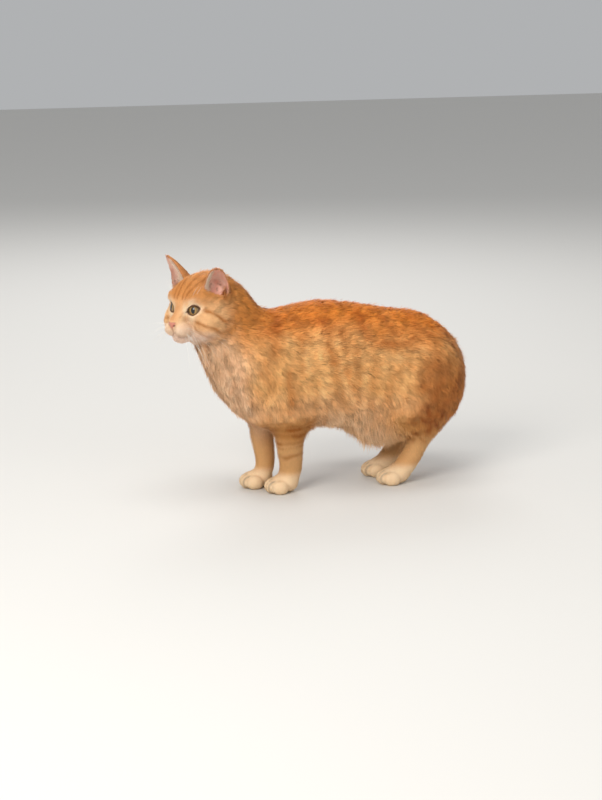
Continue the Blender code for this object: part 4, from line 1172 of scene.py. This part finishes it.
def scatter(points, faces, weight, count, seed):
    """Roots spread over triangles in proportion to area and weight: the triangle of each and its shares."""
    rng = np.random.default_rng(seed)
    corners = points[faces]
    area = np.linalg.norm(np.cross(corners[:, 1] - corners[:, 0], corners[:, 2] - corners[:, 0]), axis=1)
    total = np.cumsum(area * weight)
    pick = np.searchsorted(total, (np.arange(count) + rng.random(count)) / count * total[-1])
    pick = np.minimum(pick, len(faces) - 1)
    a, b = rng.random((2, count))
    over = a + b > 1
    a[over], b[over] = 1 - a[over], 1 - b[over]
    return pick, np.stack((1 - a - b, a, b), axis=1)


def carried(values, corners, shares):
    """Values of the skin's vertices, carried to places on its triangles."""
    return (values[corners] * (shares[..., None] if values.ndim == 2 else shares)).sum(axis=1)


def unwrapped(points, centre, axis, start):
    """Places on a flat picture: shares of the way along an axis and of the turn about it."""
    return np.stack([unit_range(value) for value in around(points, centre, axis, start)], axis=1)


def clump_pull(points, cell, seed):
    """Way from every point to the nearest of the clump middles, one of which lies in each cube of a lattice."""
    low = np.floor(points / cell).astype(np.int64)
    best = np.full(len(points), 1e9)
    pull = np.zeros_like(points)
    tone = np.zeros(len(points))
    for step in np.ndindex(3, 3, 3):
        cube = low + np.array(step) - 1
        key = cube @ np.array((73856093, 19349663, 83492791)) + seed * 7919
        key = (key ^ (key >> 13)) * 1274126177
        jitter = np.stack([((key >> shift) & 0x3FF) / 1023 for shift in (4, 14, 24)], axis=1)
        away = (cube + jitter) * cell - points
        size = (away ** 2).sum(axis=1)
        closer = size < best
        best[closer] = size[closer]
        pull[closer] = away[closer]
        tone[closer] = (((key >> 34) & 0x3FF) / 1023)[closer]
    return pull, tone


def tuft_mesh(name, roots, normals, lie, length, width, rise, colour_at, unwrap, seed):
    """Tufts as bent, tapered blades: two root points, two points at half their length and a tip.

    A blade leaves its root along the lie, rises by the coat's depth, bends back to the skin and leans to the
    middle of its clump. Its width lies across the lie, rolled a little about it.
    """
    rng = np.random.default_rng(seed)
    n = len(roots)
    across = np.cross(lie, normals)
    sway = rng.normal(0, 0.20, n) + 0.30 * lattice_noise(roots, 0.006, seed + 31)
    pull, tone = clump_pull(roots + lie * (length * 0.5)[:, None], CLUMP_CELL, 5)
    pull = flattened(pull, normals)
    reach = length * rng.uniform(0.70, 1.20, n)
    high = rise * rng.uniform(0.55, 1.18, n)
    high *= 1 + 0.55 * (tone - 0.5)
    stray = rng.random(n) < STRAY_SHARE
    high = np.where(stray, high * 1.5, high)
    heading = unit(lie + across * sway[:, None])
    level = np.sqrt(np.maximum(reach ** 2 - high ** 2, (0.5 * reach) ** 2))
    lean = np.clip(length / 0.012, 0.1, 1.0)[:, None] * pull
    middle = roots + heading * (0.50 * level)[:, None] + normals * (0.74 * high)[:, None] + lean * 0.22
    tip = roots + heading * level[:, None] + normals * high[:, None] + lean * 0.46
    roll = rng.normal(0, 0.45, n)[:, None]
    wide = across * np.cos(roll) + normals * np.sin(roll)
    wide = wide * (width * rng.uniform(0.7, 1.3, n))[:, None]
    root = roots - normals * ROOT_DEPTH
    points = np.stack((root - wide * 0.40, root + wide * 0.40,
                       middle - wide * 0.5, middle + wide * 0.5, tip), axis=1)
    base = (np.arange(n) * 5)[:, None]
    pattern = np.array(((0, 1, 2), (1, 3, 2), (2, 3, 4)))
    faces = (base[:, :, None] + pattern[None]).reshape(-1, 3)
    points[..., 2] = np.maximum(points[..., 2], TUFT_FLOOR)
    mesh = new_mesh(name, points.reshape(-1, 3) + HOME, faces)
    blade = unit(np.cross(wide, tip - roots))
    blade *= np.sign((blade * normals).sum(axis=1, keepdims=True) + 1e-9)
    shade = normals * 0.76 + blade * 0.24
    shade = np.repeat(shade, 5, axis=0)
    shade[4::5] += 0.30 * heading
    shade = unit(shade)
    mesh.shade_smooth()
    mesh.normals_split_custom_set_from_vertices(shade)
    tint = rng.normal(1.0, 0.075, n) + 0.46 * (tone - 0.5) * smoothstep(length, 0.004, 0.012)
    tint = np.clip(tint, 0.72, 1.30)
    # Each blade darker at its root, painted shade where the coat covers it, and a little lighter at its tip
    root_shade_ramp = np.array((0.88, 0.88, 0.99, 0.99, 1.10))
    near, far = colour_at(roots), colour_at(roots + heading * (0.75 * level)[:, None])
    colours = np.stack((near, near, (near + far) / 2, (near + far) / 2, far), axis=1)
    rgb = colours * tint[:, None, None] * root_shade_ramp[None, :, None]
    paint(mesh, rgb.reshape(-1, 3))
    patch = np.array(((0, 0), (1, 0), (0, 0.5), (1, 0.5), (0.5, 1))) * TUFT_PATCH
    places = (unwrap[:, None] + patch[None]).reshape(-1, 2)
    uv = mesh.uv_layers.new(name="OFBake")
    index = np.empty(len(mesh.loops), dtype=np.int32)
    mesh.loops.foreach_get("vertex_index", index)
    uv.data.foreach_set("uv", places[index].astype(np.float32).ravel())
    return new_object(name, mesh)


def paint(mesh, rgb):
    """Store a colour for every vertex, which the material reads as coat_colour."""
    layer = mesh.color_attributes.new("coat_colour", "FLOAT_COLOR", "POINT")
    rgba = np.ones((len(mesh.vertices), 4), dtype=np.float32)
    rgba[:, :3] = np.clip(rgb, 0, 1)
    layer.data.foreach_set("color", rgba.ravel())


def store(mesh, name, values):
    """Store a number for every vertex."""
    mesh.attributes.new(name, "FLOAT", "POINT").data.foreach_set("value", values.astype(np.float32))


def unit_range(values):
    """Values stretched to lie between 0 and nearly 1."""
    low, high = values.min(), values.max()
    return (values - low) / max(high - low, 1e-9) * 0.994


def around(points, centre, axis, start):
    """Unwrap about an axis: place along it, and angle about it from a starting direction."""
    axis = np.array(axis, dtype=float) / np.linalg.norm(axis)
    away = points - np.array(centre)
    start = np.array(start, dtype=float)
    start -= axis * (start @ axis)
    start /= np.linalg.norm(start)
    other = np.cross(axis, start)
    return away @ axis, np.arctan2(away @ other, away @ start)


# ---------------------------------------------------------------- materials

def add_node(tree, kind, settings=(), links=()):
    """Add a node, set its values and link sockets to its inputs. Names the input by its label or number."""
    node = tree.nodes.new(kind)
    for name, value in dict(settings).items():
        if name in node.inputs:
            node.inputs[name].default_value = value
        else:
            setattr(node, name, value)
    for name, socket in dict(links).items():
        tree.links.new(socket, node.inputs[name])
    return node


def new_material(name, settings):
    """A material with one Principled shader and its uniform values."""
    made = bpy.data.materials.new(name)
    made.use_nodes = True
    tree = made.node_tree
    shader = tree.nodes["Principled BSDF"]
    for socket, value in settings.items():
        shader.inputs[socket].default_value = value
    return made, tree, shader


def coat_paint(tree, shader):
    """Link the colour that the mesh carries to the shader."""
    colour = add_node(tree, "ShaderNodeVertexColor", {"layer_name": "coat_colour"})
    tree.links.new(colour.outputs["Color"], shader.inputs["Base Color"])
    return colour


def hair_grain(tree, shader, scale, detail, tones, strength):
    """Lighten, darken and roughen the painted colour by a noise as fine as short hair."""
    colour = coat_paint(tree, shader)
    place = add_node(tree, "ShaderNodeTexCoord")
    fine = add_node(tree, "ShaderNodeTexNoise", {"Scale": scale, "Detail": detail},
                    {"Vector": place.outputs["Object"]})
    tone = add_node(tree, "ShaderNodeMapRange", {"To Min": tones[0], "To Max": tones[1]},
                    {"Value": fine.outputs["Fac"]})
    mixed = add_node(tree, "ShaderNodeVectorMath", {"operation": "SCALE"},
                     {0: colour.outputs["Color"], "Scale": tone.outputs["Result"]})
    tree.links.new(mixed.outputs["Vector"], shader.inputs["Base Color"])
    bump = add_node(tree, "ShaderNodeBump", {"Strength": strength, "Distance": 0.0003},
                    {"Height": fine.outputs["Fac"]})
    tree.links.new(bump.outputs["Normal"], shader.inputs["Normal"])


def fur_material():
    """Hair: keratin, IOR 1.55. Gives a soft broken gloss along each tuft and a pale sheen at grazing light."""
    made, tree, shader = new_material("ginger_fur", {
        "Roughness": 0.58, "IOR": 1.55, "Specular IOR Level": 0.25, "Sheen Weight": 0.08, "Sheen Roughness": 0.45,
        "Sheen Tint": (1.0, 0.86, 0.70, 1.0)})
    # Single hairs are about 0.06 mm thick; drawn at 0.9 mm so that they show
    hair_grain(tree, shader, 1100.0, 2.0, (0.86, 1.12), 0.35)
    return made


def skin_material():
    """Skin under short fur, and bare skin on nose, lips, lids and ear cups: soft, faintly damp on the nose."""
    made, tree, shader = new_material("cat_skin", {
        "IOR": 1.45, "Specular IOR Level": 0.40, "Subsurface Weight": 0.06, "Subsurface Scale": 0.004,
        "Subsurface Radius": (1.0, 0.45, 0.30)})
    # Short hairs lie about 1 mm apart where the tufts are thinnest
    hair_grain(tree, shader, 1000.0, 3.0, (0.84, 1.10), 0.45)
    bare = add_node(tree, "ShaderNodeAttribute", {"attribute_name": "bare"})
    rough = add_node(tree, "ShaderNodeMapRange", {"To Min": 0.72, "To Max": 0.42}, {"Value": bare.outputs["Fac"]})
    tree.links.new(rough.outputs["Result"], shader.inputs["Roughness"])
    return made


def eye_material():
    """Eye: wet cornea over a khaki iris, IOR 1.376. Gives sharp window lights over a matt, fibrous colour."""
    made, tree, shader = new_material("cat_eye", {
        "Roughness": 0.35, "IOR": 1.376, "Coat Weight": 1.0, "Coat Roughness": 0.02, "Coat IOR": 1.376})
    coat_paint(tree, shader)
    return made


def whisker_material():
    """Whisker: thick white keratin hair, smooth and faintly clear."""
    return new_material("whisker", {"Roughness": 0.32, "IOR": 1.55, "Base Color": (*linear("#FBF6EC"), 1.0)})[0]


def stage_material():
    """Matt studio paper."""
    made, tree, shader = new_material("studio_paper", {"Roughness": 0.9, "Base Color": (*linear("#DAD8D4"), 1.0)})
    place = add_node(tree, "ShaderNodeTexCoord")
    grain = add_node(tree, "ShaderNodeTexNoise", {"Scale": 900.0, "Detail": 2.0},
                     {"Vector": place.outputs["Object"]})
    bump = add_node(tree, "ShaderNodeBump", {"Strength": 0.05, "Distance": 0.0002},
                    {"Height": grain.outputs["Fac"]})
    tree.links.new(bump.outputs["Normal"], shader.inputs["Normal"])
    return made


# ---------------------------------------------------------------- the pieces

def build_skin():
    """The one skin of the whole cat, with the face's folds, and what its vertices carry."""
    skin = rough_skin()
    settle(skin, 3)
    thin_trunk(skin)
    refine_face(skin)
    settle(skin, 3)
    smooth_once(skin)
    settle(skin, 1)
    lines = {
        "mouth": smooth_path(np.vstack((on_skin(MOUTH_LINE, 1)[::-1], on_skin(MOUTH_LINE, -1)[1:])), 40),
        "philtrum": smooth_path(on_skin(PHILTRUM, 1), 8),
    }
    points = part_ear_walls(point_array(skin.data), normal_array(skin.data))
    points = lid_forms(points)
    points = face_grooves(points, lines)
    skin.data.vertices.foreach_set("co", points.astype(np.float32).ravel())
    skin.data.update()
    return skin, lines


def smooth_once(skin):
    """One light pass that evens out the vertices along the surface."""
    even = skin.modifiers.new("Even", "SMOOTH")
    even.factor = 0.5
    even.iterations = 2
    apply_modifiers(skin)


def smooth_piece(name, points, faces, rgb=None):
    """A smoothly shaded piece at its place in the frame, painted where a colour is given."""
    mesh = new_mesh(name, points + HOME, faces)
    mesh.shade_smooth()
    if rgb is not None:
        paint(mesh, rgb)
    return new_object(name, mesh)


def eyeball(side, name):
    """An eyeball from two parameters, angle from the eye's axis and turn about it, with its iris and pupil, and
    the upper lid's shadow painted over its top.
    """
    centre, axis, across, up = eye_frame(side)
    turns = 96
    ball_radius = EYE_RADIUS - EYE_CLEARANCE
    lean = np.concatenate((np.linspace(0, 1.25, 56), np.linspace(1.25, math.pi, 17)[1:]))[1:-1]
    turn = np.arange(turns) * 2 * math.pi / turns
    lean_grid, turn_grid = np.meshgrid(lean, turn, indexing="ij")
    radius = ball_radius * (1 + CORNEA_RISE * bell(lean_grid, 0.62))
    x = (radius * np.sin(lean_grid) * np.cos(turn_grid)).ravel()
    y = (radius * np.sin(lean_grid) * np.sin(turn_grid)).ravel()
    z = (radius * np.cos(lean_grid)).ravel()
    x, y, z = (np.concatenate(((0,), v, (0,))) for v in (x, y, z))
    z[0], z[-1] = ball_radius * (1 + CORNEA_RISE), -ball_radius
    points = centre + x[:, None] * across + y[:, None] * up + z[:, None] * axis
    faces = ball_faces(len(lean), turns)
    if side < 0:
        faces = faces[:, ::-1]
    reach = np.hypot(x, y)
    angle = np.arctan2(y, x)
    fibre = lattice_noise(np.stack((np.cos(angle) * 6, np.sin(angle) * 6, reach * 900), axis=1), 0.35, 41)
    pupil = np.sqrt((x / 0.0028) ** 2 + (y / 0.0047) ** 2)
    iris = mix(linear("#866B42"), linear("#634D2C"), smoothstep(reach, 0.0045, 0.0085))
    iris = mix(iris, linear("#B58A4A"), 0.55 * bell(pupil - 1.25, 0.35))
    iris = iris * (1 + 0.16 * fibre)[:, None]
    iris = mix(iris, linear("#2A1B10"), smoothstep(reach, 0.0083, 0.0092))
    colour = mix(iris, linear("#0C0806"), 1 - smoothstep(pupil, 0.94, 1.06))
    # Top of the eye darkened: painted shadow of the upper lid
    colour *= (1 - 0.62 * smoothstep(y, 0.0022, 0.0066))[:, None]
    colour[z < 0.002] = linear("#E9DDCB")
    return smooth_piece(name, points, faces, colour)


def hair_tubes(starts, directions, lengths, thickness, droop, seed, parts=9):
    """Long single hairs as three-sided tapered tubes along a bent line, closed at the tip by their last point."""
    rng = np.random.default_rng(seed)
    n = len(starts)
    share = np.linspace(0, 1, parts)
    directions = unit(directions)
    bend = droop + rng.normal(0, 0.03, (n, 3))
    line = (starts[:, None] + directions[:, None] * (share[None, :, None] * lengths[:, None, None])
            + bend[:, None] * (share[None, :, None] ** 2 * lengths[:, None, None]))
    tangent = unit(np.gradient(line, axis=1))
    first = unit(np.cross(tangent, np.array((0.31, 0.57, 0.76))))
    second = np.cross(tangent, first)
    radius = thickness * (1 - share ** 1.5 * 0.93)
    rings = []
    for turn in (0, 2 * math.pi / 3, 4 * math.pi / 3):
        rings.append(line + (first * math.cos(turn) + second * math.sin(turn)) * radius[None, :, None])
    points = np.stack(rings, axis=2).reshape(-1, 3)
    base = (np.arange(n) * parts * 3)[:, None, None]
    row = (np.arange(parts - 1) * 3)[None, :, None]
    i = np.arange(3)[None, None]
    k = (i + 1) % 3
    low = base + row
    quads = np.stack((low + i, low + k, low + 3 + k, low + 3 + i), axis=-1).reshape(-1, 4)
    faces = np.vstack((quads[:, [0, 1, 2]], quads[:, [0, 2, 3]]))
    end = base[:, 0]
    faces = np.vstack((faces, np.hstack((end + 2, end + 1, end)),
                       np.hstack((end + parts * 3 - 3, end + parts * 3 - 2, end + parts * 3 - 1))))
    return points, faces


def whiskers():
    """Whiskers of both pads and brows: each leaves the skin, runs outwards and droops under its own weight."""
    rng = np.random.default_rng(71)
    starts, directions, lengths, droops = [], [], [], []
    for side in (1, -1):
        for row in range(4):
            for column in range(4 if row in (1, 2) else 3):
                place = (0.0105 + 0.0042 * column, 0.0150 + 0.0012 * column, -0.0045 - 0.0026 * row)
                starts.append(np.array(head_point(place, side)))
                if side > 0:
                    hang = 0.9 if (row + column) % 2 else 0.0
                    way = (0.34 + 0.20 * column - 0.10 * row, 0.70 - 0.35 * hang, -0.05 - 0.20 * row - hang)
                else:
                    way = (0.02 + 0.10 * column, 0.95, 0.12 - 0.20 * row + rng.normal(0, 0.05))
                directions.append(np.array(way) * (1, side, 1) @ HEAD_AXES)
                lengths.append((0.038 + 0.007 * column) * rng.uniform(0.85, 1.15))
                droops.append((0, 0, -0.42 if side > 0 else -0.30))
        for number in range(4 if side < 0 else 2):
            starts.append(np.array(head_point((0.0275 + 0.002 * number, 0.0175 + 0.002 * number, 0.0335), side)))
            way = np.array((-0.10 + 0.12 * number, 0.55, 0.85)) * (1, side, 1)
            directions.append(way @ HEAD_AXES)
            lengths.append(0.026 * rng.uniform(0.8, 1.1))
            droops.append((0, 0, -0.20))
    starts = slide(np.array(starts), -0.0006)
    points, faces = hair_tubes(starts, np.array(directions), np.array(lengths), 0.00017, np.array(droops), 72)
    return smooth_piece("whiskers", points, faces)


def build_coat(skin, lines):
    """Every piece of the coat over the skin, cut by region, and the colours of the skin itself."""
    points = point_array(skin.data)
    normals = normal_array(skin.data)
    skin.data.calc_loop_triangles()
    faces = np.empty(len(skin.data.loop_triangles) * 3, dtype=np.int32)
    skin.data.loop_triangles.foreach_get("vertices", faces)
    faces = faces.reshape(-1, 3)
    weights = region_weights(points, normals)
    colour = fur_colour(points, normals, weights)
    colour, bare = bare_colour(points, colour, lines, weights["ear_inner"])
    # Where furred, the skin is painted a little darker than the fur: painted shade deep in the coat
    paint(skin.data, colour * np.where(bare > 0.5, 1.0, 0.92)[:, None])
    store(skin.data, "bare", bare)
    lie = coat_lie(points, normals, weights)
    length, width, rise, density = coat_measure(points, normals, weights, bare)
    middle = points[faces].mean(axis=1)
    mean = {name: value[faces].mean(axis=1) for name, value in weights.items()}
    is_head = (mean["head"] + mean["ear"] + mean["ear_inner"] > 0.5)
    is_tail = (mean["tail"] > 0.5) & ~is_head
    is_leg = (middle[:, 2] < 0.105) & (mean["foreleg"] + mean["hind"] > 0.4) & ~is_head & ~is_tail
    is_neck = (mean["neck"] > 0.5) & ~is_head
    is_trunk = ~(is_head | is_tail | is_leg | is_neck)
    left = middle[:, 1] < 0
    rear = middle[:, 0] > 0.045
    pieces = {
        "coat_head_left": (is_head & (in_head(middle)[:, 1] > 0), 65000),
        "coat_head_right": (is_head & (in_head(middle)[:, 1] <= 0), 60000),
        "coat_neck": (is_neck, 36000),
        "coat_fore_left": (is_trunk & left & ~rear, 58000),
        "coat_fore_right": (is_trunk & ~left & ~rear, 54000),
        "coat_rear_left": (is_trunk & left & rear, 64000),
        "coat_rear_right": (is_trunk & ~left & rear, 54000),
        "coat_legs": (is_leg, 62000),
        "coat_tail": (is_tail, 17000),
    }
    made = []
    face_density = density[faces].mean(axis=1)
    for seed, (name, (chosen, count)) in enumerate(pieces.items()):
        pick, shares = scatter(points, faces, face_density * chosen, count, 100 + seed)
        corners = faces[pick]

        def spread(values, corners=corners, shares=shares):
            return carried(values, corners, shares)

        roots = spread(points)
        root_normals = unit(spread(normals))
        root_lie = unit(flattened(spread(lie), root_normals))
        root_weights = {key: spread(value) for key, value in weights.items()}

        def colour_at(places, normals_there=root_normals, weights_there=root_weights):
            shown = fur_colour(places, normals_there, weights_there)
            return bare_colour(places, shown, lines, weights_there["ear_inner"])[0]

        if name == "coat_legs":
            quarter = (roots[:, 0] > 0.03) * 2 + (roots[:, 1] > 0)
            unwrap = np.zeros((len(roots), 2))
            for number in range(4):
                here = quarter == number
                unwrap[here] = unwrapped(roots[here], roots[here].mean(axis=0), (0, 0, 1), (1, 0, 0))
                unwrap[here, 1] = (number + unwrap[here, 1]) / 4
        elif name == "coat_tail":
            nearest = TAIL_ROWS[tail_row(root_weights["tail_share"]), :3]
            turn = np.arctan2(roots[:, 2] - nearest[:, 2], roots[:, 1] - nearest[:, 1])
            unwrap = np.stack((unit_range(root_weights["tail_share"]), unit_range(turn)), axis=1)
        elif name.startswith("coat_head"):
            unwrap = unwrapped(roots, head_point((0.045, 0.0, 0.012)), HEAD_LEFT, HEAD_UP)
        else:
            unwrap = unwrapped(roots, *TRUNK_AXIS)
        made.append(tuft_mesh(name, roots, root_normals, root_lie, spread(length), spread(width), spread(rise),
                              colour_at, unwrap, 200 + seed))
    made.append(belly_fringe(points, normals, faces, weights))
    return made


def belly_fringe(skin_points, skin_normals, faces, weights):
    """Long pale hair of the belly: it hangs down and a little back, and is longest before the knee."""
    x, y, z = skin_points[faces].mean(axis=1).T
    normals = skin_normals[faces].mean(axis=1)
    under = smoothstep(-normals[:, 2], -0.15, 0.4) * (z < 0.122) * (x > -0.045) * (x < 0.122) * (np.abs(y) < 0.058)
    trunk = (weights["trunk"] + weights["thigh"])[faces].mean(axis=1)
    longest = bell(x - 0.074, 0.040)
    pick, shares = scatter(skin_points, faces, under * trunk * (0.25 + longest), 17000, 301)
    corners = faces[pick]
    roots, root_normals = (carried(values, corners, shares) for values in (skin_points, skin_normals))
    rng = np.random.default_rng(302)
    n = len(roots)
    longest = bell(roots[:, 0] - 0.072, 0.034)
    length = 0.009 + 0.020 * longest * rng.uniform(0.30, 1.15, n) * (0.8 + 0.35 * lattice_noise(roots, 0.009, 53))
    lie = np.stack((0.36 + 0.34 * lattice_noise(roots, 0.012, 51), 0.30 * lattice_noise(roots, 0.012, 52),
                    np.full(n, -0.92)), axis=1)
    lie = unit(lie)
    flat = np.stack((0.2 * rng.normal(size=n), np.where(roots[:, 1] < 0, -1.0, 1.0), -0.25 * np.ones(n)), axis=1)
    flat = unit(flattened(flat, lie))
    root_weights = {key: carried(value, corners, shares) for key, value in weights.items()}
    pale = rng.uniform(0.0, 0.62, n) * (0.20 + 0.80 * longest) * smoothstep(-roots[:, 2], -0.118, -0.090)
    return tuft_mesh("coat_fringe", roots, flat, lie, length, np.full(n, 0.00048), rng.uniform(0.0004, 0.0034, n),
                     lambda places: mix(fur_colour(places, root_normals, root_weights), FRINGE, pale),
                     unwrapped(roots, *TRUNK_AXIS), 303)


def ear_hair(side, name):
    """Pale hair of an ear's front edge and floor: it leaves the rim near the brow and sweeps across the cup."""
    rng = np.random.default_rng(310 + side)
    _, _, axis, facing, across = ear_frame(side)
    outward = np.array(HEAD_LEFT) * side
    inner_turn = -np.sign(across @ outward)
    n = 1500 if side < 0 else 800
    share = rng.uniform(0.20, 0.86, n) ** 1.1
    spread = ear_spread(share) * inner_turn * rng.uniform(-0.4 if side < 0 else 0.45, 1.0, n)
    roots = on_ear(share, spread, ear_radius(share, side) - 0.0004, side)
    lie = unit((0.62 * outward + 0.62 * axis + 0.42 * facing)[None] + rng.normal(0, 0.16, (n, 3)))
    size = (0.0135 if side > 0 else 0.0165) * rng.uniform(0.6, 1.1, n) * (1.1 - 0.5 * share)
    points, faces = hair_tubes(roots, lie, size, 0.00015, 0.25 * axis, 320 + side, parts=6)
    return smooth_piece(name, points, faces, linear("#F8E2CC"))


def dress(piece, finish, slot, *nodes):
    """Give a piece its material and body, and hide the parts of the nodes that it stands for. The slot is not
    used.
    """
    piece.data.materials.clear()
    piece.data.materials.append(finish)
    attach(piece, "root")
    if nodes:
        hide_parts(*nodes)


def build_stage():
    """A pale paper floor, soft lights and the camera where the photo was taken."""
    floor = new_object("studio_floor", new_mesh("studio_floor", np.array(
        ((-6, -6, 0), (6, -6, 0), (6, 6, 0), (-6, 6, 0)), dtype=float), np.array(((0, 1, 2, 3),))))
    floor.data.materials.append(stage_material())
    for name, place, size, power, tint in LIGHTS:
        lamp = bpy.data.lights.new(name, "AREA")
        lamp.size = size
        lamp.energy = power
        lamp.color = tint
        thing = bpy.data.objects.new(name, lamp)
        thing.location = place
        thing.rotation_euler = (Vector((0, 0, 0.15)) - Vector(place)).to_track_quat("-Z", "Y").to_euler()
        bpy.context.scene.collection.objects.link(thing)
    world = bpy.data.worlds.new("studio")
    world.use_nodes = True
    world.node_tree.nodes["Background"].inputs["Color"].default_value = (*linear("#E6E8EA"), 1.0)
    world.node_tree.nodes["Background"].inputs["Strength"].default_value = 0.55
    bpy.context.scene.world = world
    bpy.context.scene.view_settings.view_transform = "Standard"
    camera = bpy.data.cameras.new("camera")
    camera.lens = CAMERA_LENS
    camera.sensor_width = 36.0
    camera.clip_end = 50.0
    eye = bpy.data.objects.new("camera", camera)
    eye.location = Vector(CAMERA_PLACE) + Vector(HOME)
    eye.rotation_euler = CAMERA_TURN
    bpy.context.scene.collection.objects.link(eye)
    bpy.context.scene.camera = eye


def main():
    """Build the stage, the skin and its coat, and dress every piece."""
    build_stage()
    skin, lines = build_skin()
    coat = build_coat(skin, lines)
    skin_points = point_array(skin.data)
    skin.data.vertices.foreach_set("co", (skin_points + HOME).astype(np.float32).ravel())
    skin.data.update()
    skin.data.shade_smooth()
    flesh = [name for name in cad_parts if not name.startswith("eye_")]
    dress(skin, skin_material(), "ginger_coat", *flesh)
    fur = fur_material()
    for piece in coat:
        dress(piece, fur, "cream_coat" if piece.name == "coat_legs" else "ginger_coat")
    eye_finish = eye_material()
    for side, name in ((1, "left"), (-1, "right")):
        dress(eyeball(side, f"eyeball_{name}"), eye_finish, "eye", f"eye_{name}")
    dress(whiskers(), whisker_material(), "cream_coat")
    for side, name in ((1, "left"), (-1, "right")):
        dress(ear_hair(side, f"ear_hair_{name}"), fur, "ear")


main()
